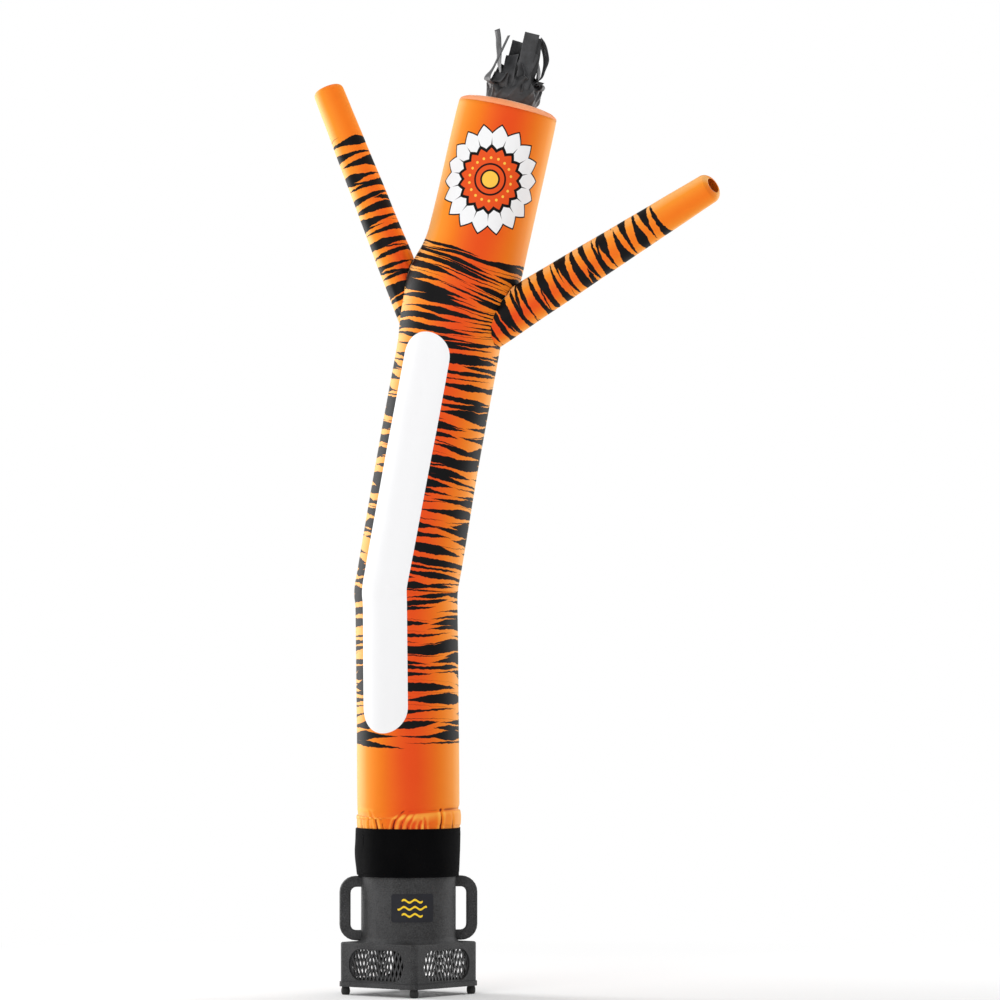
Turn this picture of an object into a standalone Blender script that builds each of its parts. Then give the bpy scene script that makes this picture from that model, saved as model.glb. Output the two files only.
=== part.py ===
"""Inflatable air dancer standing on its blower, at real size, in metres, with Z up.

The view from -Y is the front view.  The blower's housing is a moulded body with a
round neck, open below and above.  The dancer is a set of thin cloth skins: a tube with
two arms, a round cap and a tuft of ribbons, held on the neck by a wide black collar.
"""

import math
from collections import namedtuple

import bmesh
import bpy
from mathutils import Vector

# Where the neck's axis stands, so that the origin is under the middle of the whole
AXIS_X = -0.333
AXIS_Y = 0.034

# How far each front is turned about Z from the view along +Y
BLOWER_TURN = math.radians(6)
DANCER_TURN = math.radians(-16)

# Spacing of pieces that touch, and the number of sides of round pieces
GAP = 0.0003
ROUND_SIDES = 36
ARM_SIDES = 20
FOOT_SIDES = 14

# How far cutters reach past what they cut, and a height over the whole blower
SPARE = 0.02
OVER_BLOWER = 0.5

# Blower's box
BOX_HALF = 0.156
BOX_CORNER = 0.018
BOX_BOTTOM = 0.042
BOX_TOP = 0.165
BOX_EDGE = 0.005
WALL = 0.004
CORNER_STEPS = 5

# Blower's neck
NECK_R = 0.149
NECK_BORE_R = 0.145
NECK_FILLET = 0.020
FILLET_STEPS = 5
FLANGE_R = 0.1555
RIDGE_R = 0.153
LOWER_FLANGE = (0.374, 0.386)
RIDGE_HEIGHT = 0.004
TOP_FLANGE = (0.429, 0.443)
NOTCH_WIDTH = 0.018
NOTCH_DEPTH = 0.009
NOTCH_TURN = math.radians(-12)

# Windows in the box and the steel lattice behind them
WINDOW_WIDTH = 0.227
WINDOW_HEIGHT = 0.101
WINDOW_CENTRE_Z = 0.0965
WINDOW_ARC_STEPS = 7
GRILLE_MARGIN = 0.0017
GRILLE_THICKNESS = 0.002
DIAMOND_WIDTH = 0.0234
DIAMOND_HEIGHT = 0.069
LATTICE_BAR = 0.003

# Base frame and feet
FRAME_HALF = 0.160
FRAME_CORNER = 0.022
FRAME_INNER_HALF = 0.128
FRAME_INNER_CORNER = 0.010
FRAME_BOTTOM = 0.026
FOOT_PLACE = 0.140
FOOT_PROFILE = ((0.0105, 0.0), (0.0120, 0.003), (0.0140, 0.013), (0.0135, 0.019), (0.0125, 0.0257))

# Handles
HANDLE_BOTTOM = 0.170
HANDLE_TOP = 0.372
HANDLE_REACH = 0.217
HANDLE_BAR = 0.034
HANDLE_LOWER_BAR = 0.032
HANDLE_THICKNESS = 0.028
HANDLE_ROOT = 0.140
HANDLE_OUTER_CORNER = 0.050
HANDLE_INNER_CORNER = 0.018
HANDLE_EDGE = 0.005

# Label plate and the hook band round the neck
LABEL_WIDTH = 0.134
LABEL_BOTTOM = 0.233
LABEL_TOP = 0.321
LABEL_CORNER = 0.007
LABEL_THICKNESS = 0.0012
LABEL_STEPS = 8
BAND_THICKNESS = 0.003

# Collar of the dancer: height, inner radius; and its loose closing flap
CLOTH = 0.002
COLLAR_CLOTH = 0.0026
COLLAR_SECTIONS = (
    (0.3720, 0.1562),
    (0.3780, 0.1566),
    (0.3900, 0.1572),
    (0.4380, 0.1592),
    (0.4560, 0.1602),
    (0.5240, 0.1608),
)
FLAP_BOTTOM = 0.376
FLAP_TOP = 0.522
FLAP_START = math.radians(177) - BLOWER_TURN
FLAP_ARC = math.radians(34)
FLAP_LIFT = 0.0045
FLAP_STEPS = 6

# Body tube, from the collar to the head's rim
TubeSection = namedtuple("TubeSection", "z x diameter pucker")
TUBE_SECTIONS = (
    TubeSection(0.446, 0.0000, 0.3190, 0.0),
    TubeSection(0.522, 0.0000, 0.3190, 0.0),
    TubeSection(0.540, 0.0000, 0.3230, 0.0016),
    TubeSection(0.556, 0.0010, 0.3260, 0.0026),
    TubeSection(0.574, 0.0000, 0.3160, 0.0018),
    TubeSection(0.600, 0.0000, 0.3210, 0.0),
    TubeSection(1.235, -0.0005, 0.3220, 0.0),
    TubeSection(1.277, -0.0010, 0.3210, 0.0),
    TubeSection(1.365, 0.0085, 0.3230, 0.0),
    TubeSection(1.712, 0.0670, 0.3220, 0.0),
    TubeSection(2.027, 0.1240, 0.3220, 0.0),
    TubeSection(2.127, 0.1395, 0.3320, 0.0),
    TubeSection(2.215, 0.1630, 0.3480, 0.0),
    TubeSection(2.298, 0.1970, 0.3320, 0.0),
    TubeSection(2.373, 0.2190, 0.3210, 0.0),
    TubeSection(2.748, 0.3050, 0.3160, 0.0),
    TubeSection(2.783, 0.3130, 0.3140, 0.0),
)
# The tube is cut in four lengths, each sewn to the next along one of these sections
TUBE_LENGTHS = ("body_lower", "body_upper", "body_shoulders", "body_head")
TUBE_SEAMS = (1.277, 2.027, 2.373)
ARMHOLE_LENGTH = "body_shoulders"
PUCKER_FOLDS = 11
HEAD_LEAN = math.atan2(0.0080, 0.035)

# Arms: where the axis starts inside the tube and ends, and where it meets the tube's axis
Arm = namedtuple("Arm", "name root_x root_z tip_x tip_z meet_x root_diameter tip_diameter")
ARMS = (
    Arm("arm_left", 0.0430, 2.0900, -0.2612, 2.8646, 0.108, 0.124, 0.097),
    Arm("arm_right", 0.2000, 2.0655, 0.9515, 2.5286, 0.127, 0.150, 0.094),
)
ARM_BENDS = 5
VENT_DIAMETER = 0.050
TIP_ROUNDING = 0.020
TIP_STEPS = 4
ARM_HOLE_SHARE = 0.86
ARM_HOLE_REACH = 0.30
PUCKER_START = 0.7

# Cap of the head: radius share and height over the rim
CAP_SECTIONS = (
    (1.000, 0.0010),
    (0.975, 0.0070),
    (0.850, 0.0140),
    (0.560, 0.0190),
    (0.060, 0.0190),
)

# Hair tuft: gathered root and its ribbons
TUFT_SIDES = 24
TUFT_GATHERS = 8
TUFT_SECTIONS = (
    # height over the cap, radius, depth of the gathers
    (0.000, 0.074, 0.003),
    (0.034, 0.082, 0.007),
    (0.052, 0.070, 0.005),
)
RIBBON_THICKNESS = 0.0016
RIBBON_STEPS = 6
RIBBON_SUNK = 0.012
Ribbon = namedtuple("Ribbon", "around seat width length lean curl")
RIBBONS = (
    # degrees round the tuft, seat radius, width, length, then lean and curl in degrees
    Ribbon(186, 0.040, 0.018, 0.176, 18, -5),
    Ribbon(200, 0.060, 0.036, 0.085, 48, -80),
    Ribbon(228, 0.040, 0.030, 0.166, 26, -46),
    Ribbon(262, 0.056, 0.036, 0.060, 16, 95),
    Ribbon(290, 0.022, 0.044, 0.182, 8, 4),
    Ribbon(312, 0.058, 0.034, 0.070, 18, 90),
    Ribbon(338, 0.048, 0.030, 0.186, 26, -58),
    Ribbon(2, 0.060, 0.028, 0.095, 30, -50),
    Ribbon(32, 0.058, 0.034, 0.070, 20, 95),
    Ribbon(62, 0.036, 0.040, 0.140, 2, 8),
    Ribbon(100, 0.056, 0.040, 0.075, 14, 80),
    Ribbon(132, 0.034, 0.040, 0.150, 0, 8),
    Ribbon(160, 0.060, 0.032, 0.070, 24, 90),
)


def clear_scene():
    """Start from an empty scene."""
    for thing in list(bpy.data.objects):
        bpy.data.objects.remove(thing, do_unlink=True)


def plain_material(name, colour, roughness, metallic=0.0):
    """A Principled material in one colour, given as linear red, green and blue."""
    material = bpy.data.materials.new(name)
    material.use_nodes = True
    shader = material.node_tree.nodes["Principled BSDF"]
    shader.inputs["Base Color"].default_value = (*colour, 1.0)
    shader.inputs["Roughness"].default_value = roughness
    shader.inputs["Metallic"].default_value = metallic
    material.diffuse_color = (*colour, 1.0)
    return material


def make_empty(name, location, turn):
    """An empty that carries a group of pieces."""
    carrier = bpy.data.objects.new(name, None)
    carrier.location = location
    carrier.rotation_euler = (0.0, 0.0, turn)
    bpy.context.scene.collection.objects.link(carrier)
    return carrier


def make_object(name, mesh, parent, material=None, smooth_angle=40):
    """A linked object for a mesh; without a material it is a cutter that stays hidden."""
    thing = bpy.data.objects.new(name, mesh)
    bpy.context.scene.collection.objects.link(thing)
    thing.parent = parent
    if material is None:
        thing.hide_render = True
        thing.display_type = "WIRE"
        return thing
    mesh.materials.append(material)
    mesh.shade_smooth()
    mesh.set_sharp_from_angle(angle=math.radians(smooth_angle))
    return thing


def loft(name, rings, looped=False):
    """A closed mesh through rings of points; a looped one joins its last ring to its first."""
    shape = bmesh.new()
    levels = [[shape.verts.new(point) for point in ring] for ring in rings]
    count = len(rings[0])
    joins = list(zip(levels, levels[1:]))
    if looped:
        joins.append((levels[-1], levels[0]))
    for lower, upper in joins:
        for i in range(count):
            j = (i + 1) % count
            shape.faces.new((lower[i], lower[j], upper[j], upper[i]))
    if not looped:
        shape.faces.new(levels[0])
        shape.faces.new(levels[-1])
    bmesh.ops.recalc_face_normals(shape, faces=shape.faces)
    mesh = bpy.data.meshes.new(name)
    shape.to_mesh(mesh)
    shape.free()
    return mesh


def circle(radius, z, sides):
    """A level ring of points round the Z axis."""
    return [
        Vector((radius * math.cos(a), radius * math.sin(a), z))
        for a in (2 * math.pi * i / sides for i in range(sides))
    ]


def turned(name, profile, sides, looped=False):
    """A turned solid from (radius, height) rows."""
    return loft(name, [circle(radius, z, sides) for radius, z in profile], looped)


def rounded_square(half, corner, z):
    """A level square ring with round corners that point along X and Y."""
    points = []
    for quarter in range(4):
        centre_angle = math.pi / 2 * quarter
        centre = Vector(((half - corner) * math.sqrt(2), 0.0, z))
        for step in range(CORNER_STEPS + 1):
            a = -math.pi / 4 + math.pi / 2 * step / CORNER_STEPS
            point = centre + Vector((corner * math.cos(a), corner * math.sin(a), 0.0))
            points.append(rotated(point, centre_angle))
    return points


def rotated(point, angle):
    """The point turned about Z."""
    c, s = math.cos(angle), math.sin(angle)
    return Vector((point.x * c - point.y * s, point.x * s + point.y * c, point.z))


def boolean(target, cutter, operation="DIFFERENCE"):
    """Cut, join or clip the target with another object."""
    modifier = target.modifiers.new(cutter.name, "BOOLEAN")
    modifier.operation = operation
    modifier.solver = "EXACT"
    modifier.object = cutter
    return modifier


def stadium(width, height):
    """Outline of a window: two half rounds and two straight sides, as (across, up) pairs."""
    radius = height / 2
    points = []
    for side in (1, -1):
        for step in range(WINDOW_ARC_STEPS + 1):
            a = math.pi * (step / WINDOW_ARC_STEPS - 0.5)
            across = (width / 2 - radius + radius * math.cos(a)) * side
            points.append((across, radius * math.sin(a) * side))
    return points


def slab(name, outline, near, far):
    """A plate standing on the window's centre height, from its outline, facing +Y."""
    rings = [[Vector((x, y, WINDOW_CENTRE_Z + up)) for x, up in outline] for y in (near, far)]
    return loft(name, rings)


def diamond_cutters(near, far):
    """All the holes of one lattice, as separate prisms in one mesh."""
    a, b = DIAMOND_WIDTH / 2, DIAMOND_HEIGHT / 2
    to_side = a * b / math.hypot(a, b)
    share = 1 - LATTICE_BAR / 2 / to_side
    columns = math.ceil(WINDOW_WIDTH / DIAMOND_WIDTH)
    rows = math.ceil(WINDOW_HEIGHT / DIAMOND_HEIGHT)
    shape = bmesh.new()
    for i in range(-columns, columns + 1):
        for j in range(-2 * rows, 2 * rows + 1):
            if (i + j) % 2:
                continue
            x, up = i * a, WINDOW_CENTRE_Z + j * b
            if abs(x) > WINDOW_WIDTH / 2 or abs(j * b) > WINDOW_HEIGHT / 2 + b / 2:
                continue
            corners = ((a, 0), (0, b), (-a, 0), (0, -b))
            levels = [
                [shape.verts.new((x + dx * share, y, up + dz * share)) for dx, dz in corners]
                for y in (near, far)
            ]
            shape.faces.new(levels[0])
            shape.faces.new(levels[1])
            for k in range(4):
                m = (k + 1) % 4
                shape.faces.new((levels[0][k], levels[0][m], levels[1][m], levels[1][k]))
    bmesh.ops.recalc_face_normals(shape, faces=shape.faces)
    mesh = bpy.data.meshes.new("diamond_cutters")
    shape.to_mesh(mesh)
    shape.free()
    return mesh


def face_turns():
    """Turn about Z of each of the box's four side faces, from +Y."""
    return [math.pi / 4 + math.pi / 2 * k for k in range(4)]


def flare_profile(grow):
    """Profile of the neck's flared foot, from inside the box up, grown by grow."""
    profile = [(NECK_R + NECK_FILLET + grow, BOX_TOP - 2 * BOX_EDGE)]
    for step in range(FILLET_STEPS + 1):
        a = math.pi / 2 * step / FILLET_STEPS
        radius = NECK_R + NECK_FILLET * (1 - math.sin(a)) + grow
        profile.append((radius, BOX_TOP + NECK_FILLET * (1 - math.cos(a)) + grow))
    return profile


def make_housing(parent, material):
    """Moulded housing: square box with windows, a flared round neck and its flanges."""
    box_rings = [
        rounded_square(BOX_HALF, BOX_CORNER, BOX_BOTTOM),
        rounded_square(BOX_HALF, BOX_CORNER, BOX_TOP - BOX_EDGE),
        rounded_square(BOX_HALF - 0.3 * BOX_EDGE, BOX_CORNER, BOX_TOP - 0.3 * BOX_EDGE),
        rounded_square(BOX_HALF - BOX_EDGE, BOX_CORNER - 0.5 * BOX_EDGE, BOX_TOP),
    ]
    housing = make_object("blower_housing", loft("blower_housing", box_rings), parent, material)

    low, high = LOWER_FLANGE
    top_low, top_high = TOP_FLANGE
    flanges = [
        (NECK_R, low), (FLANGE_R, low), (FLANGE_R, high), (RIDGE_R, high),
        (RIDGE_R, high + RIDGE_HEIGHT), (NECK_R, high + RIDGE_HEIGHT),
        (NECK_R, top_low - RIDGE_HEIGHT), (RIDGE_R, top_low - RIDGE_HEIGHT),
        (RIDGE_R, top_low), (FLANGE_R, top_low), (FLANGE_R, top_high),
    ]
    neck = make_object("neck_form", turned("neck_form", flare_profile(0.0) + flanges, ROUND_SIDES), parent)
    clip_rings = [rounded_square(BOX_HALF - GAP, BOX_CORNER, z) for z in (BOX_TOP / 2, OVER_BLOWER)]
    clip = make_object("neck_clip", loft("neck_clip", clip_rings), parent)
    boolean(neck, clip, "INTERSECT")
    boolean(housing, neck, "UNION")

    inner = BOX_HALF - WALL
    cavity_heights = (BOX_BOTTOM - SPARE, BOX_TOP - WALL)
    cavity_rings = [rounded_square(inner, BOX_CORNER - WALL, z) for z in cavity_heights]
    boolean(housing, make_object("cavity_cutter", loft("cavity_cutter", cavity_rings), parent))
    bore_profile = ((NECK_BORE_R, BOX_TOP / 2), (NECK_BORE_R, OVER_BLOWER))
    bore = turned("bore_cutter", bore_profile, ROUND_SIDES)
    boolean(housing, make_object("bore_cutter", bore, parent))

    for number, turn in enumerate(face_turns()):
        outline = stadium(WINDOW_WIDTH, WINDOW_HEIGHT)
        mesh = slab(f"window_cutter_{number}", outline, inner - SPARE, BOX_HALF + SPARE)
        window = make_object(mesh.name, mesh, parent)
        window.rotation_euler = (0.0, 0.0, turn)
        boolean(housing, window)
        near, far = NECK_BORE_R - SPARE, FLANGE_R + SPARE
        side = NOTCH_WIDTH / 2
        corners = ((near, -side), (far, -side), (far, side), (near, side))
        heights = (top_high - NOTCH_DEPTH, top_high + SPARE)
        rings = [[Vector((x, y, z)) for x, y in corners] for z in heights]
        notch = make_object(f"notch_cutter_{number}", loft("notch_cutter", rings), parent)
        notch.rotation_euler = (0.0, 0.0, NOTCH_TURN + math.pi / 2 * (number - 1))
        boolean(housing, notch)


def make_grilles(parent, material):
    """Four steel lattices, each behind its window."""
    far = BOX_HALF - WALL - GAP
    near = far - GRILLE_THICKNESS
    outline = stadium(WINDOW_WIDTH + 2 * GRILLE_MARGIN, WINDOW_HEIGHT + 2 * GRILLE_MARGIN)
    for number, turn in enumerate(face_turns()):
        hole_mesh = diamond_cutters(near - SPARE / 2, far + SPARE / 2)
        holes = make_object(f"lattice_holes_{number}", hole_mesh, parent)
        window = stadium(WINDOW_WIDTH, WINDOW_HEIGHT)
        rim_mesh = slab("lattice_rim", window, near - SPARE, far + SPARE)
        rim = make_object(f"lattice_rim_{number}", rim_mesh, parent)
        plate = slab("grille", outline, near, far)
        grille = make_object(f"grille_{number + 1}", plate, parent, material)
        for thing in (holes, rim, grille):
            thing.rotation_euler = (0.0, 0.0, turn)
        boolean(holes, rim, "INTERSECT")
        boolean(grille, holes)


def make_base(parent, frame_material, foot_material):
    """Square frame under the housing, and its four rubber feet."""
    top = BOX_BOTTOM - GAP
    rings = [
        rounded_square(FRAME_HALF, FRAME_CORNER, FRAME_BOTTOM),
        rounded_square(FRAME_HALF, FRAME_CORNER, top),
        rounded_square(FRAME_INNER_HALF, FRAME_INNER_CORNER, top),
        rounded_square(FRAME_INNER_HALF, FRAME_INNER_CORNER, FRAME_BOTTOM),
    ]
    make_object("base_frame", loft("base_frame", rings, looped=True), parent, frame_material)
    foot_mesh = turned("foot", FOOT_PROFILE, FOOT_SIDES)
    for number in range(4):
        foot = make_object(f"foot_{number + 1}", foot_mesh.copy(), parent, foot_material)
        corner = Vector((FOOT_PLACE * math.sqrt(2), 0.0, 0.0))
        foot.location = rotated(corner, math.pi / 2 * number)


def arc(centre_x, centre_z, radius, start, end, steps):
    """Points of an arc in the XZ plane; angles in degrees."""
    points = []
    for step in range(steps + 1):
        a = math.radians(start + (end - start) * step / steps)
        points.append((centre_x + radius * math.cos(a), centre_z + radius * math.sin(a)))
    return points


def make_handles(parent, material):
    """Two D loops on the neck's sides, open towards the neck."""
    reach, corner, inner = HANDLE_REACH, HANDLE_OUTER_CORNER, HANDLE_INNER_CORNER
    inner_x = reach - HANDLE_BAR
    low, high = HANDLE_BOTTOM + HANDLE_LOWER_BAR, HANDLE_TOP - HANDLE_BAR
    outline = [(HANDLE_ROOT, HANDLE_BOTTOM)]
    outline += arc(reach - corner, HANDLE_BOTTOM + corner, corner, -90, 0, 6)
    outline += arc(reach - corner, HANDLE_TOP - corner, corner, 0, 90, 6)
    outline += [(HANDLE_ROOT, HANDLE_TOP), (HANDLE_ROOT, high)]
    outline += arc(inner_x - inner, high - inner, inner, 90, 0, 4)
    outline += arc(inner_x - inner, low + inner, inner, 0, -90, 4)
    outline += [(HANDLE_ROOT, low)]
    half = HANDLE_THICKNESS / 2
    for name, turn in (("handle_right", 0.0), ("handle_left", math.pi)):
        rings = [[Vector((x, y, z)) for x, z in outline] for y in (-half, half)]
        handle = make_object(name, loft(name, rings), parent, material)
        handle.rotation_euler = (0.0, 0.0, turn)
        bevel = handle.modifiers.new("round_edges", "BEVEL")
        bevel.width = HANDLE_EDGE
        bevel.segments = 2
        bevel.limit_method = "ANGLE"
        bevel.angle_limit = math.radians(60)
        seat_profile = flare_profile(GAP) + [(NECK_R + GAP, OVER_BLOWER)]
        seat = turned("handle_seat", seat_profile, ROUND_SIDES)
        cutter = make_object(f"{name}_seat", seat, parent)
        boolean(handle, cutter)


def bent_sheet(name, sections):
    """A sheet bent round the Z axis: one (angle, inner radius, outer radius, low, high) row a step."""
    rings = []
    for angle, inner, outer, low, high in sections:
        corners = ((inner, low), (outer, low), (outer, high), (inner, high))
        rings.append([rotated(Vector((radius, 0.0, z)), angle) for radius, z in corners])
    return loft(name, rings)


def make_label(parent, material):
    """Thin plate with round corners on the neck's front."""
    half = LABEL_WIDTH / 2
    places = [-half + LABEL_CORNER * share for share in (0.0, 0.15, 0.5)]
    flat = half - LABEL_CORNER
    places += [flat * (2 * k / LABEL_STEPS - 1) for k in range(LABEL_STEPS + 1)]
    places += [-place for place in places[2::-1]]
    sections = []
    for place in places:
        into_corner = max(0.0, LABEL_CORNER - (half - abs(place)))
        cut = LABEL_CORNER - math.sqrt(LABEL_CORNER ** 2 - into_corner ** 2)
        angle = -math.pi / 2 + place / NECK_R
        inner = NECK_R + GAP
        sections.append((angle, inner, inner + LABEL_THICKNESS, LABEL_BOTTOM + cut, LABEL_TOP - cut))
    make_object("label_plate", bent_sheet("label_plate", sections), parent, material)


def make_hook_band(parent, material):
    """Band of hook tape in the neck's groove."""
    low = LOWER_FLANGE[1] + RIDGE_HEIGHT + GAP
    high = TOP_FLANGE[0] - RIDGE_HEIGHT - GAP
    inner = NECK_R + GAP
    outer = inner + BAND_THICKNESS
    profile = ((outer, low), (outer, high), (inner, high), (inner, low))
    make_object("hook_band", turned("hook_band", profile, ROUND_SIDES, looped=True), parent, material)


def make_collar(parent, material):
    """Wide black collar over the neck and the tube's lower end, and its closing flap."""
    outer = [(radius + COLLAR_CLOTH, z) for z, radius in COLLAR_SECTIONS]
    inner = [(radius, z) for z, radius in reversed(COLLAR_SECTIONS)]
    mesh = turned("collar", outer + inner, ROUND_SIDES, looped=True)
    make_object("collar", mesh, parent, material)
    seat = COLLAR_SECTIONS[-1][1] + COLLAR_CLOTH + GAP
    sections = []
    for step in range(FLAP_STEPS + 1):
        share = step / FLAP_STEPS
        lifted = seat + FLAP_LIFT * (1 - share) ** 2
        angle = FLAP_START + FLAP_ARC * share
        sections.append((angle, lifted, lifted + CLOTH, FLAP_BOTTOM, FLAP_TOP))
    make_object("collar_flap", bent_sheet("collar_flap", sections), parent, material)


def tube_rings(grow, low=TUBE_SECTIONS[0].z, high=TUBE_SECTIONS[-1].z):
    """Rings of the body tube from height low to high, square to its axis, grown by grow.

    They are in line with the neck's sides.  Where low is a seam, its gap is left over it.
    """
    rows = TUBE_SECTIONS
    rings = []
    for number, row in enumerate(rows):
        if not low <= row.z <= high:
            continue
        before = rows[max(number - 1, 0)]
        after = rows[min(number + 1, len(rows) - 1)]
        lean = math.atan2(after.x - before.x, after.z - before.z)
        across = Vector((math.cos(lean), 0.0, -math.sin(lean)))
        depth = Vector((0.0, 1.0, 0.0))
        middle = Vector((row.x, 0.0, row.z))
        if row.z == low and number > 0:
            middle += GAP * Vector((math.sin(lean), 0.0, math.cos(lean)))
        ring = []
        for i in range(ROUND_SIDES):
            a = BLOWER_TURN + 2 * math.pi * i / ROUND_SIDES
            radius = row.diameter / 2 + row.pucker * math.cos(PUCKER_FOLDS * a + PUCKER_START) + grow
            outward = math.cos(a) * across + math.sin(a) * depth
            ring.append(middle + radius * outward)
        rings.append(ring)
    return rings


def arm_frame(arm):
    """Start of an arm's axis, its length, and its directions along, across and in depth."""
    def placed(x, z):
        return Vector((x, (x - arm.meet_x) * math.tan(DANCER_TURN), z))

    root, tip = placed(arm.root_x, arm.root_z), placed(arm.tip_x, arm.tip_z)
    along = (tip - root).normalized()
    across = Vector((0.0, 1.0, 0.0)).cross(along).normalized()
    return root, (tip - root).length, along, across, along.cross(across)


def arm_rings(arm, sections, angles):
    """Rows of points on an arm, at the given angles, from (distance along, radius) rows."""
    root, _, along, across, depth = arm_frame(arm)
    rings = []
    for distance, radius in sections:
        ring = []
        for a in angles:
            outward = math.cos(a) * across + math.sin(a) * depth
            ring.append(root + along * distance + radius * outward)
        rings.append(ring)
    return rings


def shell(name, outer, inner):
    """A closed thin skin between two grids of points of the same size."""
    shape = bmesh.new()
    grids = [[[shape.verts.new(point) for point in row] for row in grid] for grid in (outer, inner)]
    rows, columns = len(outer), len(outer[0])
    for grid in grids:
        for k in range(rows - 1):
            for i in range(columns - 1):
                shape.faces.new((grid[k][i], grid[k][i + 1], grid[k + 1][i + 1], grid[k + 1][i]))
    out, under = grids
    for k in (0, rows - 1):
        for i in range(columns - 1):
            shape.faces.new((out[k][i], out[k][i + 1], under[k][i + 1], under[k][i]))
    for i in (0, columns - 1):
        for k in range(rows - 1):
            shape.faces.new((out[k][i], out[k + 1][i], under[k + 1][i], under[k][i]))
    bmesh.ops.recalc_face_normals(shape, faces=shape.faces)
    mesh = bpy.data.meshes.new(name)
    shape.to_mesh(mesh)
    shape.free()
    return mesh


def arm_sections(arm, thickness):
    """Distance and radius rows of an arm's skin, drawn in by thickness."""
    length = arm_frame(arm)[1]
    straight = length - TIP_ROUNDING
    start, end = arm.root_diameter / 2, arm.tip_diameter / 2
    rows = []
    for step in range(ARM_BENDS):
        share = step / ARM_BENDS
        rows.append((straight * share, start + (end - start) * share - thickness))
    vent = VENT_DIAMETER / 2
    for step in range(TIP_STEPS + 1):
        a = math.pi / 2 * step / TIP_STEPS
        radius = vent + (end - vent - thickness) * math.cos(a)
        rows.append((straight + (TIP_ROUNDING - thickness) * math.sin(a), radius))
    return rows


def make_dancer_body(parent, material):
    """Body tube in four lengths, and arms of two panels: open skins that meet at the shoulders."""
    lengths = {}
    heights = (TUBE_SECTIONS[0].z, *TUBE_SEAMS, TUBE_SECTIONS[-1].z)
    for name, low, high in zip(TUBE_LENGTHS, heights, heights[1:]):
        rings = tube_rings(0.0, low, high) + tube_rings(-CLOTH, low, high)[::-1]
        lengths[name] = make_object(name, loft(name, rings, looped=True), parent, material)
    clear_mesh = loft("tube_clearance", tube_rings(GAP))
    clearance = make_object("tube_clearance", clear_mesh, parent)
    half = ARM_SIDES // 2
    for arm in ARMS:
        seam = GAP / arm.tip_diameter
        for place, start in (("back", 0.0), ("front", math.pi)):
            angles = [start + seam + (math.pi - 2 * seam) * i / half for i in range(half + 1)]
            grids = [arm_rings(arm, arm_sections(arm, depth), angles) for depth in (0.0, CLOTH)]
            name = f"{arm.name}_{place}"
            panel = make_object(name, shell(name, *grids), parent, material)
            boolean(panel, clearance)
        hole_radius = arm.root_diameter / 2 * ARM_HOLE_SHARE
        hole_rows = ((SPARE, hole_radius), (ARM_HOLE_REACH, hole_radius))
        all_round = [2 * math.pi * i / ARM_SIDES for i in range(ARM_SIDES)]
        hole_mesh = loft(f"{arm.name}_hole", arm_rings(arm, hole_rows, all_round))
        boolean(lengths[ARMHOLE_LENGTH], make_object(hole_mesh.name, hole_mesh, parent))


def make_head_carrier(parent):
    """An empty at the middle of the head's rim, leaning with the head."""
    rim = TUBE_SECTIONS[-1]
    carrier = make_empty("head_carrier", (rim.x, 0.0, rim.z), 0.0)
    carrier.parent = parent
    carrier.rotation_euler = (0.0, HEAD_LEAN, 0.0)
    return carrier


def make_cap(parent, material):
    """Low domed cap that closes the head."""
    radius = TUBE_SECTIONS[-1].diameter / 2
    outer = [(radius * share, GAP + rise) for share, rise in CAP_SECTIONS]
    inner = [(radius * share - CLOTH, GAP + rise - CLOTH) for share, rise in CAP_SECTIONS[1:-1]]
    core = CAP_SECTIONS[-1]
    underside = [(radius * core[0], GAP + core[1] - CLOTH)]
    edge = [(radius - CLOTH, GAP), (radius, GAP)]
    profile = outer[::-1] + edge[::-1] + inner + underside
    cap = make_object("head_cap", turned("head_cap", profile, ROUND_SIDES), parent, material)
    cap.rotation_euler = (0.0, 0.0, BLOWER_TURN)


def ribbon_mesh(name, ribbon, seat_height):
    """One flat ribbon that leans and curls away from the tuft's middle."""
    around = math.radians(ribbon.around)
    outward = Vector((math.cos(around), math.sin(around), 0.0))
    sideways = Vector((-outward.y, outward.x, 0.0))
    step_length = (ribbon.length + RIBBON_SUNK) / RIBBON_STEPS
    point = outward * ribbon.seat + Vector((0.0, 0.0, seat_height - RIBBON_SUNK))
    rings = []
    for step in range(RIBBON_STEPS + 1):
        share = step / RIBBON_STEPS
        lean = math.radians(ribbon.lean + ribbon.curl * share * share)
        heading = outward * math.sin(lean) + Vector((0.0, 0.0, math.cos(lean)))
        normal = heading.cross(sideways).normalized()
        half_width = sideways * ribbon.width / 2
        half_thick = normal * RIBBON_THICKNESS / 2
        rings.append([
            point - half_width - half_thick, point + half_width - half_thick,
            point + half_width + half_thick, point - half_width + half_thick,
        ])
        point = point + heading * step_length
    return loft(name, rings)


def make_tuft(parent, material):
    """Gathered root on the cap with the ribbons that grow out of it."""
    floor = GAP + CAP_SECTIONS[-1][1] + GAP
    rings = []
    for height, radius, depth in TUFT_SECTIONS:
        ring = []
        for i in range(TUFT_SIDES):
            a = 2 * math.pi * i / TUFT_SIDES
            r = radius + depth * math.cos(TUFT_GATHERS * a)
            ring.append(Vector((r * math.cos(a), r * math.sin(a), floor + height)))
        rings.append(ring)
    tuft = make_object("hair_tuft", loft("hair_tuft", rings), parent, material)
    top = floor + TUFT_SECTIONS[-1][0]
    for number, ribbon in enumerate(RIBBONS):
        mesh = ribbon_mesh(f"ribbon_form_{number + 1}", ribbon, top)
        boolean(tuft, make_object(mesh.name, mesh, parent), "UNION")


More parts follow.
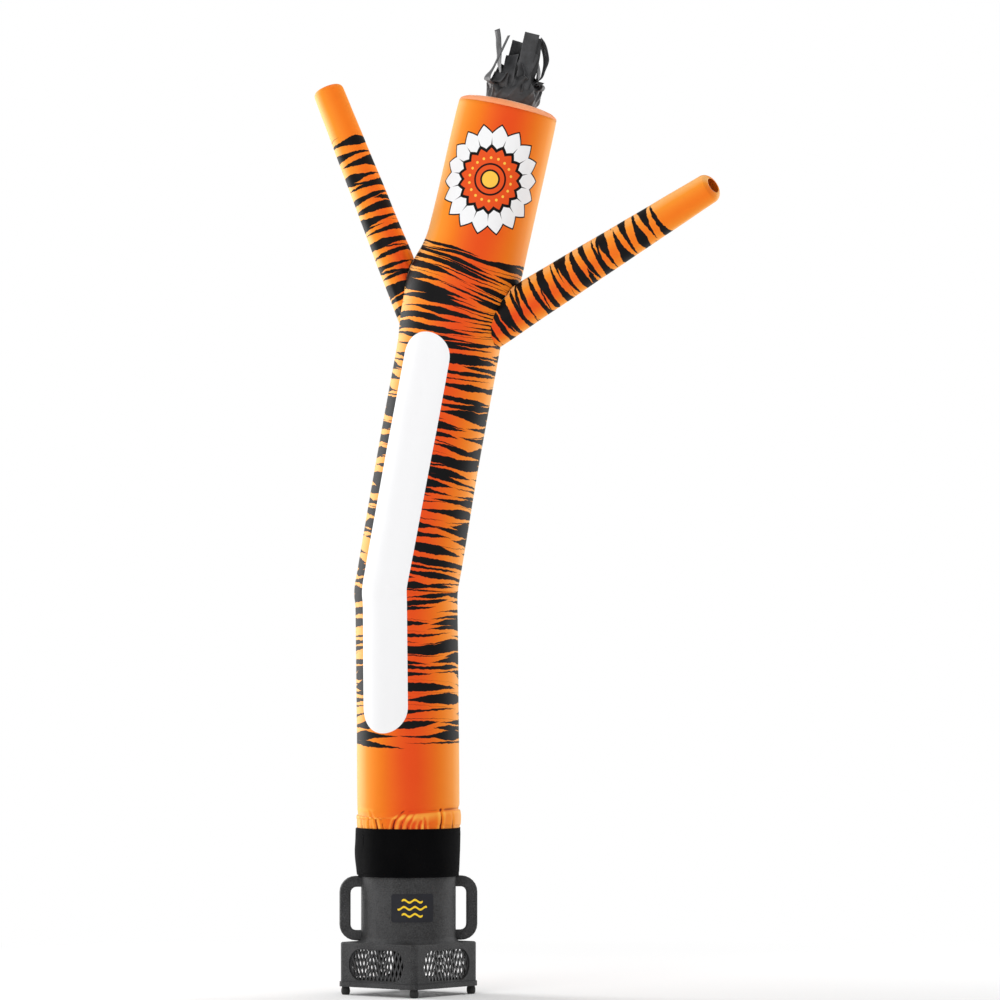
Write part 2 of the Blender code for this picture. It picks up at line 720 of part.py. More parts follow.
def main():
    """Build every piece."""
    clear_scene()
    plastic = plain_material("black_moulded_plastic", (0.028, 0.028, 0.028), 0.55)
    steel = plain_material("black_coated_steel", (0.022, 0.022, 0.022), 0.45, 0.3)
    rubber = plain_material("black_rubber", (0.020, 0.020, 0.020), 0.8)
    gloss = plain_material("black_gloss_label", (0.012, 0.012, 0.012), 0.2)
    tape = plain_material("black_hook_tape", (0.010, 0.010, 0.010), 0.9)
    nylon = plain_material("orange_nylon", (0.870, 0.200, 0.020), 0.6)
    satin = plain_material("black_nylon_ribbon", (0.050, 0.050, 0.050), 0.5)

    blower = make_empty("blower_carrier", (AXIS_X, AXIS_Y, 0.0), BLOWER_TURN)
    make_housing(blower, plastic)
    make_grilles(blower, steel)
    make_base(blower, plastic, rubber)
    make_handles(blower, plastic)
    make_label(blower, gloss)
    make_hook_band(blower, tape)
    make_collar(blower, tape)

    dancer = make_empty("dancer_carrier", (AXIS_X, AXIS_Y, 0.0), 0.0)
    make_dancer_body(dancer, nylon)
    head = make_head_carrier(dancer)
    make_cap(head, nylon)
    make_tuft(head, satin)


main()
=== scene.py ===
import math
from collections import namedtuple
from functools import partial

import bmesh
import bpy
import numpy as np
from mathutils import Matrix, Vector, noise
from mathutils.bvhtree import BVHTree


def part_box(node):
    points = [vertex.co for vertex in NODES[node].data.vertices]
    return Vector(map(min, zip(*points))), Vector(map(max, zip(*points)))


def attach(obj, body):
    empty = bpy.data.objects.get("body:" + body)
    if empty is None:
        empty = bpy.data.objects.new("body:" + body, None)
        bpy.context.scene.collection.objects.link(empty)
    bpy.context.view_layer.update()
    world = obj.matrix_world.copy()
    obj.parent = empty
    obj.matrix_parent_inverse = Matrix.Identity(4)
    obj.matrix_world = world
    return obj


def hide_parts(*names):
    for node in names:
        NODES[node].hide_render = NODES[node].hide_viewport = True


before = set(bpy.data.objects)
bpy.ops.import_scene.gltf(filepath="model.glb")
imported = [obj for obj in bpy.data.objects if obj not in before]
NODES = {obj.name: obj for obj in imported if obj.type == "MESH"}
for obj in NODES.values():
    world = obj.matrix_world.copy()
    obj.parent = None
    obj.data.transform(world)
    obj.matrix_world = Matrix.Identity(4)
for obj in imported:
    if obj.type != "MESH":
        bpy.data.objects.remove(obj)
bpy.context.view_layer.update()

# Looks of an inflatable air dancer on its blower, in metres, seen from -Y with Z up.
# Cloth is modelled as thin skins on the solids of the frame. Printed patterns are worked
# out on the flat cloth: across it round the tube, and up it along the tube's axis.

# The blower neck's axis, from the collar that closes on it
COLLAR_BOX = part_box("collar")
COLLAR_LOW, COLLAR_HIGH = COLLAR_BOX[0].z, COLLAR_BOX[1].z
AXIS = Vector(((COLLAR_BOX[0].x + COLLAR_BOX[1].x) / 2, (COLLAR_BOX[0].y + COLLAR_BOX[1].y) / 2, 0.0))
BLOWER_TURN = math.radians(6)
DANCER_TURN = math.radians(-16)
SIDEWAYS = Vector((0.0, 1.0, 0.0))

# Camera: where it stands, what it looks at, and how many metres one picture row holds there
PICTURE_WIDTH = 3.15
CAMERA_DISTANCE = 18.0
CAMERA_HEIGHT = 1.2
AIM_RIGHT = 0.288
AIM_HEIGHT = 1.554
SENSOR = 36.0

# Cloth: its thickness, the columns of the skins' grids, and the tube's rows, which are fine up to
# FINE_BELOW and at the bend
CLOTH = 0.0012
TUBE_COLUMNS = 240
ARM_COLUMNS = 64
FINE_ROW = 0.0034
BEND_ROW = 0.0060
PLAIN_ROW = 0.0165
FINE_BELOW = 0.600
BEND_HEIGHT = 1.266
BEND_REACH = 0.060

Section = namedtuple("Section", "z x diameter")
TUBE_SECTIONS = [Section(*row) for row in (
    (0.448, 0.0000, 0.3190),
    (0.522, 0.0000, 0.3190),
    (0.540, 0.0000, 0.3230),
    (0.556, 0.0010, 0.3260),
    (0.574, 0.0000, 0.3160),
    (0.600, 0.0000, 0.3210),
    (1.235, -0.0062, 0.3212),
    (1.270, -0.0068, 0.3206),
    (1.300, -0.0028, 0.3216),
    (1.365, 0.0085, 0.3230),
    (1.712, 0.0670, 0.3220),
    (2.027, 0.1240, 0.3220),
    (2.127, 0.1395, 0.3320),
    (2.215, 0.1630, 0.3480),
    (2.298, 0.1970, 0.3320),
    (2.373, 0.2190, 0.3210),
    (2.748, 0.3050, 0.3160),
    (2.783, 0.3130, 0.3140),
)]
TUBE_RADIUS = 0.161
HEAD_LEAN = math.atan2(0.0080, 0.035)

# Depth of a crease that takes the full painted crease shade, and the share of the painted shade and bulge
# light higher up the tube
CREASE_DEPTH = 0.004
BEND_SHADE_SHARE = 0.3
# Creases that rise from the collar: degrees round from the front, top height, drift in degrees,
# width and depth
CREASE_FOOT = 0.520
Crease = namedtuple("Crease", "around high drift width depth")
COLLAR_CREASES = [Crease(*row) for row in (
    (-80, 0.556, 3, 0.0080, 0.0040),
    (-64, 0.572, -2, 0.0080, 0.0040),
    (-50, 0.574, 3, 0.0070, 0.0035),
    (-37, 0.582, -13, 0.0080, 0.0060),
    (-29, 0.566, -8, 0.0060, 0.0040),
    (-17, 0.584, 14, 0.0080, 0.0060),
    (-8, 0.572, 9, 0.0065, 0.0045),
    (0, 0.570, 8, 0.0060, 0.0040),
    (13, 0.556, 2, 0.0070, 0.0045),
    (20, 0.562, -2, 0.0065, 0.0040),
    (40, 0.592, 1, 0.0080, 0.0065),
    (61, 0.566, -3, 0.0080, 0.0045),
    (84, 0.572, 4, 0.0080, 0.0050),
    (108, 0.580, -4, 0.0080, 0.0060),
    (122, 0.566, 6, 0.0070, 0.0040),
    (138, 0.560, 5, 0.0080, 0.0045),
    (155, 0.576, -3, 0.0080, 0.0055),
    (-176, 0.566, 3, 0.0080, 0.0050),
    (-160, 0.584, 8, 0.0080, 0.0060),
    (-143, 0.568, -6, 0.0070, 0.0045),
    (-127, 0.562, -4, 0.0080, 0.0045),
    (-102, 0.574, 3, 0.0080, 0.0055),
)]

# Arms: where the axis starts inside the tube and ends, where it meets the tube's axis, diameters,
# how far the end slants back towards the front, and how far up the stripes run
Arm = namedtuple(
    "Arm", "name root_x root_z tip_x tip_z meet_x root_diameter tip_diameter vent_slant stripes_end")
ARMS = (
    Arm("arm_left", 0.0430, 2.0900, -0.2612, 2.8646, 0.108, 0.124, 0.097, 0.000, 0.665),
    Arm("arm_right", 0.2000, 2.0655, 0.9515, 2.5286, 0.127, 0.150, 0.094, 0.013, 0.715),
)
VENT_DIAMETER = 0.050
TIP_ROUNDING = 0.020
ARM_ROWS = 70
ARM_GATHER = 0.0022
ARM_DIP = 0.0030
ARM_SLACK = 0.0009
GATHER_REACH = 0.05
TIP_ROWS = 8

# Cap of the head: radius share and height over the rim
CAP_PROFILE = (
    (1.000, 0.0004), (0.985, 0.0060), (0.850, 0.0172), (0.560, 0.0246), (0.300, 0.0262), (0.030, 0.0264))
CAP_ROW = 0.028

# Ribbons of the tuft: degrees round, radius and height of the foot, width, length, lean at the foot,
# turn of the lean (little by little, or at the share of the length given as fold), sway to the side, twist
Ribbon = namedtuple("Ribbon", "around seat foot width length lean curl fold sway twist")
RIBBONS = [Ribbon(*row) for row in (
    (176, 0.050, 0.078, 0.026, 0.172, 14, 8, 0.00, 0, 44),
    (207, 0.072, 0.062, 0.064, 0.190, 74, -92, 0.24, 0, -20),
    (193, 0.078, 0.056, 0.046, 0.040, 30, -110, 0.60, 0, 10),
    (122, 0.046, 0.075, 0.054, 0.148, -2, 4, 0.00, 0, 8),
    (289, 0.050, 0.078, 0.047, 0.172, 12, -12, 0.20, -1, -6),
    (264, 0.060, 0.070, 0.054, 0.130, -4, -12, 0.00, 13, 18),
    (330, 0.046, 0.080, 0.034, 0.160, 6, -10, 0.00, -5, -58),
    (350, 0.058, 0.085, 0.046, 0.166, 24, -86, 0.00, 0, 34),
    (346, 0.074, 0.070, 0.050, 0.078, 36, -150, 0.48, 0, 12),
    (230, 0.078, 0.080, 0.054, 0.072, -2, 150, 0.50, 0, 6),
    (246, 0.066, 0.078, 0.048, 0.098, -10, -16, 0.00, -8, -14),
    (282, 0.076, 0.072, 0.052, 0.060, -16, -30, 0.00, 4, -8),
    (306, 0.074, 0.072, 0.052, 0.084, -6, -36, 0.00, -6, 22),
    (322, 0.078, 0.066, 0.046, 0.046, 8, -90, 0.50, 0, -10),
    (12, 0.064, 0.074, 0.046, 0.106, 8, -52, 0.00, 0, -24),
    (34, 0.070, 0.070, 0.046, 0.060, 12, -60, 0.50, 0, 8),
    (58, 0.060, 0.074, 0.046, 0.136, 4, -8, 0.00, -6, 16),
    (84, 0.070, 0.070, 0.048, 0.072, 14, 60, 0.55, 0, -6),
    (100, 0.056, 0.074, 0.044, 0.118, -4, -14, 0.00, 8, 14),
    (138, 0.070, 0.072, 0.046, 0.068, 12, -50, 0.00, 0, -22),
    (158, 0.070, 0.070, 0.046, 0.052, 6, -70, 0.50, 0, 10),
)]
RIBBON_ROWS = 30
RIBBON_COLUMNS = 8
RIBBON_SUNK = 0.020
FOLD_SPREAD = 0.13
TUFT_FOOT = 0.0246
TUFT_HEIGHT = 0.074
TUFT_COLUMNS = 220
TUFT_ROWS = 44
TUFT_RADIUS = 0.080
RIBBON_CLOTH = 0.0006
TUFT_CLOTH = 0.0008
HEART_ROWS = 8
HEART_DEPTH = 0.030


# Colours and materials

def colour(code):
    """Linear red, green, blue and alpha of an sRGB hex code."""
    parts = [int(code[i:i + 2], 16) / 255 for i in (1, 3, 5)]
    linear = [c / 12.92 if c <= 0.04045 else ((c + 0.055) / 1.055) ** 2.4 for c in parts]
    return (*linear, 1.0)


def add_node(tree, kind, *values, **named):
    """Add a node to a tree and give the node back.

    A kind in capitals, such as ADD, is a Math node.  Values fill its sockets in turn.  A name is
    a socket, with _ for a space, or a setting; stops are the places and colours of a ramp.
    """
    maths = kind.isupper()
    made = tree.nodes.new("ShaderNodeMath" if maths else "ShaderNode" + kind)
    if maths:
        made.operation = kind
    stops = named.pop("stops", ())
    for setting in [key for key in named if hasattr(made, key)]:
        setattr(made, setting, named.pop(setting))
    for key, value in [*enumerate(values), *named.items()]:
        name = key if isinstance(key, int) else key.replace("_", " ")
        if isinstance(value, bpy.types.Node):
            value = value.outputs[0]
        if isinstance(value, bpy.types.NodeSocket):
            tree.links.new(value, made.inputs[name])
        else:
            made.inputs[name].default_value = value
    for number, (place, tint) in enumerate(stops):
        points = made.color_ramp.elements
        point = points[number] if number < 2 else points.new(place)
        point.position = place
        point.color = tint
    return made


def new_material(name, **finish):
    """A material, the function that adds its nodes, and its shader with constants on its own sockets."""
    material = bpy.data.materials.new(name)
    material.use_nodes = True
    shader = material.node_tree.nodes["Principled BSDF"]
    for key, value in finish.items():
        shader.inputs[key.replace("_", " ")].default_value = value
    return material, partial(add_node, material.node_tree), shader


def join(shader, **nodes):
    """Join nodes to the shader's sockets."""
    for name, node in nodes.items():
        shader.id_data.links.new(node.outputs[0], shader.inputs[name.replace("_", " ")])


def over(add, high, low, steep):
    """Share, from 0 to 1, that rises steeply where the first value is over the second."""
    return add("MULTIPLY", add("SUBTRACT", high, low), steep, use_clamp=True)


def cloudy_dye(add, scale, detail, *stops):
    """Place on the piece, a cloudy noise there, and a colour that follows it through the stops."""
    place = add("TexCoord").outputs["Object"]
    cloud = add("TexNoise", Vector=place, Scale=scale, Detail=detail)
    return place, cloud, add("ValToRGB", Fac=cloud, stops=[(at, colour(code)) for at, code in stops])


# Rows of tapered marks: row pitch and offset, length of a mark, its phase and scatter round the
# cloth, least and most half thickness, slant, how blunt its ends may be, and a seed
StripeLayer = namedtuple("StripeLayer", "pitch offset cell phase scatter thin thick drift blunt seed")
# Two layers of main stripes and two of thin ones that run into them, on the tube
TUBE_STRIPES = (
    StripeLayer(0.080, 0.000, 0.46, 0.0, 7.0, 0.0096, 0.0156, 0.010, 3.0, 3.0),
    StripeLayer(0.080, 0.040, 0.40, 0.0, 7.0, 0.0096, 0.0156, 0.010, 3.0, 11.0),
    StripeLayer(0.080, 0.020, 0.31, 0.0, 7.0, -0.0010, 0.0098, 0.018, 3.6, 23.0),
    StripeLayer(0.080, 0.060, 0.35, 0.0, 7.0, -0.0010, 0.0098, 0.018, 3.6, 37.0),
)
# On the arms, wedges run in from the right and from the left side in turn and meet in zigzags
ARM_STRIPES = (
    StripeLayer(0.075, 0.0000, 0.36, 0.16, 0.18, 0.0140, 0.0190, 0.009, 1.4, 5.0),
    StripeLayer(0.075, 0.0375, 0.36, 0.66, 0.18, 0.0140, 0.0190, 0.009, 1.4, 17.0),
    StripeLayer(0.075, 0.0190, 0.17, 0.00, 7.00, -0.0060, 0.0075, 0.020, 4.0, 29.0),
)
SHARPEST_END = 1.6
SWELL_GAIN = 2.3
SWELL_LOSS = -0.20
RAGGED = 0.0085
PRINT_EDGE = 0.0008


def stripe_layer(add, around, along, layer, limits):
    """Field of one layer of tapered stripes: over 0 inside a stripe, in metres."""
    count = add("DIVIDE", add("SUBTRACT", along, layer.offset), layer.pitch)
    row = add("FLOOR", count)
    lot = add("TexWhiteNoise", W=add("ADD", row, layer.seed), noise_dimensions="1D")
    begin = add("MULTIPLY_ADD", lot, layer.scatter, layer.phase)
    place = add("ADD", add("DIVIDE", around, layer.cell), begin)
    column = add("FLOOR", place)
    share = add("SUBTRACT", place, column)
    key = add("CombineXYZ", row, column, layer.seed)
    chance = add("TexWhiteNoise", Vector=key, noise_dimensions="3D")
    split = add("SeparateColor", chance.outputs["Color"])
    # One end of a stripe is blunt and the other runs out thin, and which is which is by chance
    rise = add("MULTIPLY", share, add("MULTIPLY_ADD", split.outputs["Red"], layer.blunt, SHARPEST_END))
    left = add("SUBTRACT", 1.0, share)
    fall = add("MULTIPLY", left, add("MULTIPLY_ADD", split.outputs["Green"], layer.blunt, SHARPEST_END))
    taper = add("MINIMUM", add("MINIMUM", rise, fall), 1.0)
    widest = add("MULTIPLY_ADD", chance, layer.thick - layer.thin, layer.thin)
    # A stripe swells and pinches along its length
    run = add("CombineXYZ", around, add("ADD", row, layer.seed))
    swell = add("MULTIPLY_ADD", add("TexNoise", Vector=run, Scale=9.0, Detail=1.0), SWELL_GAIN, SWELL_LOSS)
    half = add("MULTIPLY", add("MULTIPLY", widest, taper), swell)
    tilt = add("MULTIPLY", add("SUBTRACT", split.outputs["Blue"], 0.5), 4.0 * layer.drift)
    shift = add("MULTIPLY", tilt, add("SUBTRACT", share, 0.5))
    offset = add("MULTIPLY", add("SUBTRACT", add("SUBTRACT", count, row), 0.5), layer.pitch)
    field = add("SUBTRACT", half, add("ABSOLUTE", add("ADD", offset, shift)))
    # Rows past the printed part's ends are left out whole
    middle = add("MULTIPLY_ADD", add("ADD", row, 0.5), layer.pitch, layer.offset)
    under = add("LESS_THAN", middle, limits[0])
    past = add("GREATER_THAN", middle, limits[1])
    return add("SUBTRACT", field, add("ADD", under, past))


def tiger_stripes(add, around, along, layers, limits, wave):
    """Share of black, 0 or 1 with a soft edge, of tapered and forked stripes across the cloth."""
    flat = add("CombineXYZ", around, along, 0.0)
    # A slow wave that all stripes follow, and the ragged edge of the print
    slow = add("TexNoise", Vector=flat, Scale=4.5, Detail=1.0, Roughness=0.4)
    ragged = add("TexNoise", Vector=flat, Scale=62.0, Detail=2.0, Roughness=0.6)
    waved = add("MULTIPLY_ADD", add("SUBTRACT", slow, 0.5), wave, along)
    waved = add("MULTIPLY_ADD", add("SUBTRACT", ragged, 0.5), RAGGED, waved)
    field = stripe_layer(add, around, waved, layers[0], limits)
    for layer in layers[1:]:
        field = add("MAXIMUM", field, stripe_layer(add, around, waved, layer, limits))
    return add("MULTIPLY_ADD", field, 1 / PRINT_EDGE, 0.5, use_clamp=True)


# Printed nylon: polyurethane-coated plain weave. Thin and taut, so the dye looks strong, the
# edges turn pale where the nap of the weave catches side light, and the gloss is soft and wide.
NYLON = dict(
    Roughness=0.60, IOR=1.45, Specular_IOR_Level=0.14, Sheen_Weight=0.90, Sheen_Roughness=0.12,
    Sheen_Tint=colour("#FFF0D8"))
DEEP_ORANGE = colour("#E24C16")
WARM_ORANGE = colour("#E96218")
ORANGE = colour("#EF7A1A")
BRIGHT_ORANGE = colour("#F4922A")
PALE_ORANGE = colour("#F8B467")
# Stops from painted light, pale at the sides, to painted shade, deep red-orange at the front's and back's
# middle
SHADED_ORANGE_STOPS = (
    (0.0, PALE_ORANGE), (1.0, DEEP_ORANGE), (0.30, BRIGHT_ORANGE), (0.66, ORANGE), (0.87, WARM_ORANGE))
# Painted shade in the creases and painted light on the bulges
CREASE_SHADE_RED = colour("#7C1C0E")
BULGE_LIGHT_ORANGE = colour("#FDB548")
PRINT_BLACK = colour("#0C0B0C")
PANEL_WHITE = colour("#EEEEEF")
# The real threads lie a fraction of a millimetre apart.  They are drawn 1.6 mm apart, so that they show.
THREAD = 0.0016

# The print on the tube: the panel's middle across, low and high up, its half width, foot and top,
# where it shifts across and over how far, the stripes' ends, and where they come closer
PANEL_ACROSS_LOW = -0.0795
PANEL_ACROSS_HIGH = -0.0700
PANEL_HALF = 0.083
PANEL_FOOT = 0.375
PANEL_TOP = 1.632
PANEL_SHIFT_FROM = 0.83
PANEL_SHIFT_OVER = 0.5
STRIPES_FROM = 0.330
STRIPES_TO = 1.905
CHEST_FROM = 1.58
CHEST_CLOSER = 0.50
TUBE_WAVE = 0.036
# Where the painted shade lies deepest across the tube
TUBE_SHADE_MIDDLE = 0.012
SEAM_HALF = 0.0045
ARM_HALF_ROUND = 0.18
ARM_WAVE = 0.016
# Where the painted shade lies deepest across the arms
ARM_SHADE_MIDDLE = 0.018


def cloth_place(add):
    """Place round and place along on the flat cloth."""
    split = add("SeparateXYZ", add("UVMap", uv_map="print"))
    return split.outputs["X"], split.outputs["Y"]


def cloth_weave(add, around, along):
    """Bump of a plain weave: threads that pass over and under."""
    across = add("SINE", add("MULTIPLY", around, math.pi / THREAD))
    up = add("SINE", add("MULTIPLY", along, math.pi / THREAD))
    return add("Bump", Height=add("MULTIPLY", across, up), Distance=0.0002, Strength=0.25)


def crease_shade_and_bulge_light(add, dye):
    """The dye with painted shade, darker where the cloth creases, and painted light, lighter where the cloth
    bulges.
    """
    fold = add("Attribute", attribute_name="fold").outputs["Fac"]
    lighter = add("MixRGB", over(add, fold, 0.20, 1.3), dye, BULGE_LIGHT_ORANGE)
    return add("MixRGB", over(add, -0.30, fold, 2.0), lighter, CREASE_SHADE_RED)


def orange_with_painted_shade(add, around, along, half_round, middle, shade_strength=1.0):
    """Orange with painted shade, deep red-orange at the front's middle and the back's, and painted light,
    lighter at the sides, over an uneven random tone.
    """
    place = add("MULTIPLY", add("SUBTRACT", around, middle), 2 * math.pi / half_round)
    turn = add("MULTIPLY_ADD", add("COSINE", place), 0.5, 0.5)
    flat = add("CombineXYZ", around, along, 0.0)
    uneven = add("TexNoise", Vector=flat, Scale=3.0, Detail=3.0)
    blend = add("MULTIPLY_ADD", add("SUBTRACT", uneven, 0.5), 0.18, add("MULTIPLY", turn, shade_strength))
    return add("ValToRGB", Fac=blend, stops=SHADED_ORANGE_STOPS)


def belly_panel(add, around, along):
    """Share of white of the panel, a long strip with round ends."""
    rise = over(add, along, PANEL_SHIFT_FROM, 1 / PANEL_SHIFT_OVER)
    middle = add("MULTIPLY_ADD", rise, PANEL_ACROSS_HIGH - PANEL_ACROSS_LOW, PANEL_ACROSS_LOW)
    across = add("SUBTRACT", around, middle)
    nearest = add("MINIMUM", add("MAXIMUM", along, PANEL_FOOT + PANEL_HALF), PANEL_TOP - PANEL_HALF)
    reach = add("SUBTRACT", along, nearest)
    squares = add("MULTIPLY_ADD", across, across, add("MULTIPLY", reach, reach))
    inside = add("SUBTRACT", PANEL_HALF, add("SQRT", squares))
    return add("MULTIPLY_ADD", inside, 1 / PRINT_EDGE, 0.5, use_clamp=True)


def make_tube_nylon():
    """Printed nylon of the body tube: orange, striped, with a plain white belly panel."""
    material, add, shader = new_material("printed_nylon_tube", **NYLON)
    around, along = cloth_place(add)
    # The base orange holds painted shade down the middle and painted light at the sides; the crease step
    # adds painted shade in creases and painted light on bulges
    dye = crease_shade_and_bulge_light(add, orange_with_painted_shade(add, around, along, math.pi * TUBE_RADIUS, TUBE_SHADE_MIDDLE))
    # From the chest up the stripes lie closer together
    closer = add("MULTIPLY", add("MAXIMUM", add("SUBTRACT", along, CHEST_FROM), 0.0), CHEST_CLOSER)
    limits = (STRIPES_FROM, STRIPES_TO + CHEST_CLOSER * (STRIPES_TO - CHEST_FROM))
    black = tiger_stripes(add, around, add("ADD", along, closer), TUBE_STRIPES, limits, TUBE_WAVE)
    # The seam down the back folds the print under, so it is plain orange
    seam = add("LESS_THAN", add("SUBTRACT", math.pi * TUBE_RADIUS, add("ABSOLUTE", around)), SEAM_HALF)
    medal, medal_share = head_medallion(add, around, along)
    prints = (
        (black, PRINT_BLACK), (seam, WARM_ORANGE), (belly_panel(add, around, along), PANEL_WHITE),
        (medal_share, medal))
    for share, ink in prints:
        dye = add("MixRGB", share, dye, ink)
    join(shader, Base_Color=dye, Normal=cloth_weave(add, around, along))
    return material


# The head's printed medallion, a plain sunburst: its middle, rays, and the radii of its rings
MEDAL_ACROSS = -0.004
MEDAL_ALONG = 2.135
MEDAL_RAYS = 18
MEDAL_CORE = 0.026
MEDAL_BAND = 0.04836
MEDAL_DOTS = 0.068
MEDAL_RING = 0.100
MEDAL_WHITE = 0.150
# Outlines round the core, the disc and the rays, half widths of the band and the dots, and where strokes end
MEDAL_CORE_LINE = 0.006
MEDAL_DISC_LINE = 0.012
MEDAL_RAY_LINE = 0.006
MEDAL_BAND_HALF = 0.0035
MEDAL_DOT_HALF = 0.0048
MEDAL_STROKE_END = 0.138
MEDAL_STROKE_TAPER = 0.085
MEDAL_EDGE = 0.001
MEDAL_YELLOW = colour("#F6C24A")
MEDAL_ORANGE = colour("#E2501C")


def head_medallion(add, around, along):
    """Colour and share of a generic sunburst: a ragged white ring of rays round an orange disc."""
    def mark(high, low):
        return over(add, high, low, 1 / MEDAL_EDGE)

    x = add("SUBTRACT", around, MEDAL_ACROSS)
    y = add("SUBTRACT", along, MEDAL_ALONG)
    radius = add("SQRT", add("MULTIPLY_ADD", x, x, add("MULTIPLY", y, y)))
    angle = add("ARCTAN2", y, x)
    ray = add("PINGPONG", add("MULTIPLY", angle, MEDAL_RAYS / (2 * math.pi)), 0.5)
    # Each ring's edge runs out and back with the rays
    reach = add("SUBTRACT", radius, add("MULTIPLY", ray, 0.055))
    inner = add("ADD", radius, add("MULTIPLY", ray, 0.030))
    band = add("ABSOLUTE", add("SUBTRACT", radius, MEDAL_BAND))
    arc = add("MULTIPLY", add("MULTIPLY", ray, 2 * math.pi / MEDAL_RAYS), radius)
    stroke = add("MULTIPLY", add("SUBTRACT", MEDAL_STROKE_END, radius), MEDAL_STROKE_TAPER)
    from_dot = add("SUBTRACT", radius, MEDAL_DOTS)
    dot = add("SQRT", add("MULTIPLY_ADD", arc, arc, add("MULTIPLY", from_dot, from_dot)))
    marks = (
        # share, colour; each lies over the ones before it
        (mark(MEDAL_WHITE - MEDAL_RAY_LINE, reach), PANEL_WHITE),
        (mark(stroke, arc), PRINT_BLACK),
        (mark(MEDAL_RING + MEDAL_DISC_LINE, inner), PRINT_BLACK),
        (mark(MEDAL_RING, inner), MEDAL_ORANGE),
        (mark(MEDAL_BAND_HALF, band), PRINT_BLACK),
        (mark(MEDAL_DOT_HALF, dot), MEDAL_YELLOW),
        (mark(MEDAL_CORE + MEDAL_CORE_LINE, radius), PRINT_BLACK),
        (mark(MEDAL_CORE, radius), MEDAL_YELLOW),
    )
    medal = PRINT_BLACK
    for share, ink in marks:
        medal = add("MixRGB", share, medal, ink)
    return medal, mark(MEDAL_WHITE, reach)


def make_arm_nylon(name, limits):
    """Printed nylon of an arm: striped up to its plain orange hand end."""
    material, add, shader = new_material(name, **NYLON)
    around, along = cloth_place(add)
    # The painted shade of deep red-orange fades from the shoulder towards the plain hand end
    shade_strength = add("MapRange", along, 0.12, 0.62, 1.05, 0.68)
    dye = orange_with_painted_shade(add, around, along, ARM_HALF_ROUND, ARM_SHADE_MIDDLE, shade_strength)
    black = tiger_stripes(add, around, along, ARM_STRIPES, limits, ARM_WAVE)
    striped = add("MixRGB", black, dye, PRINT_BLACK)
    join(shader, Base_Color=striped, Normal=cloth_weave(add, around, along))
    return material


def make_cap_nylon():
    """Plain orange nylon of the head's cap: the same cloth, undyed by print, so it is even and paler."""
    material, add, shader = new_material("plain_nylon_cap", **NYLON)
    place, _, dye = cloudy_dye(add, 9.0, 3.0, (0.3, "#F6945C"), (0.7, "#FAA97C"))
    split = add("SeparateXYZ", place)
    join(shader, Base_Color=dye, Normal=cloth_weave(add, split.outputs["X"], split.outputs["Y"]))
    return material


def make_ribbon_satin():
    """Black coated nylon ribbon: smooth face, so folds show as soft grey lights on near black."""
    material, add, shader = new_material(
        "coated_nylon_ribbon", Roughness=0.46, IOR=1.5, Specular_IOR_Level=0.34)
    place, _, dye = cloudy_dye(add, 30.0, 4.0, (0.30, "#2C2D2E"), (0.75, "#4A4A4C"))
    # Small crumples of 8 mm and the ribbon's threads, 0.9 mm apart, drawn coarse so that they show
    crumple = add("TexNoise", Vector=place, Scale=120.0, Detail=2.0)
    thread = add("TexNoise", Vector=place, Scale=1100.0, Detail=1.0)
    height = add("MULTIPLY_ADD", thread, 0.12, crumple)
    join(shader, Base_Color=dye, Normal=add("Bump", Height=height, Distance=0.0022, Strength=0.22))
    return material


def make_loop_tape():
    """Black hook-and-loop tape: napped nylon loops, so it is matt and drinks light, with a faint fuzz."""
    material, add, shader = new_material(
        "napped_loop_tape", Roughness=0.95, IOR=1.5, Specular_IOR_Level=0.08)
    place, _, dye = cloudy_dye(add, 14.0, 4.0, (0.25, "#020203"), (0.80, "#070708"))
    # Loops stand 1.4 mm apart
    loops = add("TexVoronoi", Vector=place, Scale=700.0)
    join(shader, Base_Color=dye, Normal=add("Bump", Height=loops, Distance=0.0008, Strength=0.6))
    return material


def make_pebbled_plastic():
    """Injection-moulded black polypropylene with a spark-eroded pebble grain, dulled and a little scuffed.

    The real grain is 1.2 mm across.  It is drawn 3 mm across, so that it still shows from 18 m.
    """
    material, add, shader = new_material("moulded_polypropylene", IOR=1.49, Specular_IOR_Level=0.40)
    place = add("TexCoord").outputs["Object"]
    pebble = add("TexVoronoi", Vector=place, Scale=330.0)
    grain = add("TexNoise", Vector=place, Scale=420.0, Detail=2.0)
    cloudy = add("TexNoise", Vector=place, Scale=11.0, Detail=5.0)
    mixed = add("MULTIPLY_ADD", grain, 0.9, add("MULTIPLY_ADD", cloudy, 0.5, -0.20))
    stops = ((0.38, colour("#1B1B1C")), (0.63, colour("#434344")))
    rough = add("MapRange", Value=cloudy, To_Min=0.58, To_Max=0.76)
    relief = add("Bump", Height=pebble, Distance=0.0011, Strength=0.6)
    join(shader, Base_Color=add("ValToRGB", Fac=mixed, stops=stops), Roughness=rough, Normal=relief)
    return material


def make_coated_steel():
    """Expanded mild steel in a black powder coat: satin, slightly orange-peeled, with a dusty dulling."""
    material, add, shader = new_material("powder_coated_steel", IOR=1.5)
    place, dust, dye = cloudy_dye(add, 25.0, 4.0, (0.3, "#1B1B1C"), (0.8, "#2F2F31"))
    peel = add("TexNoise", Vector=place, Scale=500.0, Detail=2.0)
    rough = add("MapRange", Value=dust, To_Min=0.32, To_Max=0.50)
    relief = add("Bump", Height=peel, Distance=0.0003, Strength=0.3)
    join(shader, Base_Color=dye, Roughness=rough, Normal=relief)
    return material


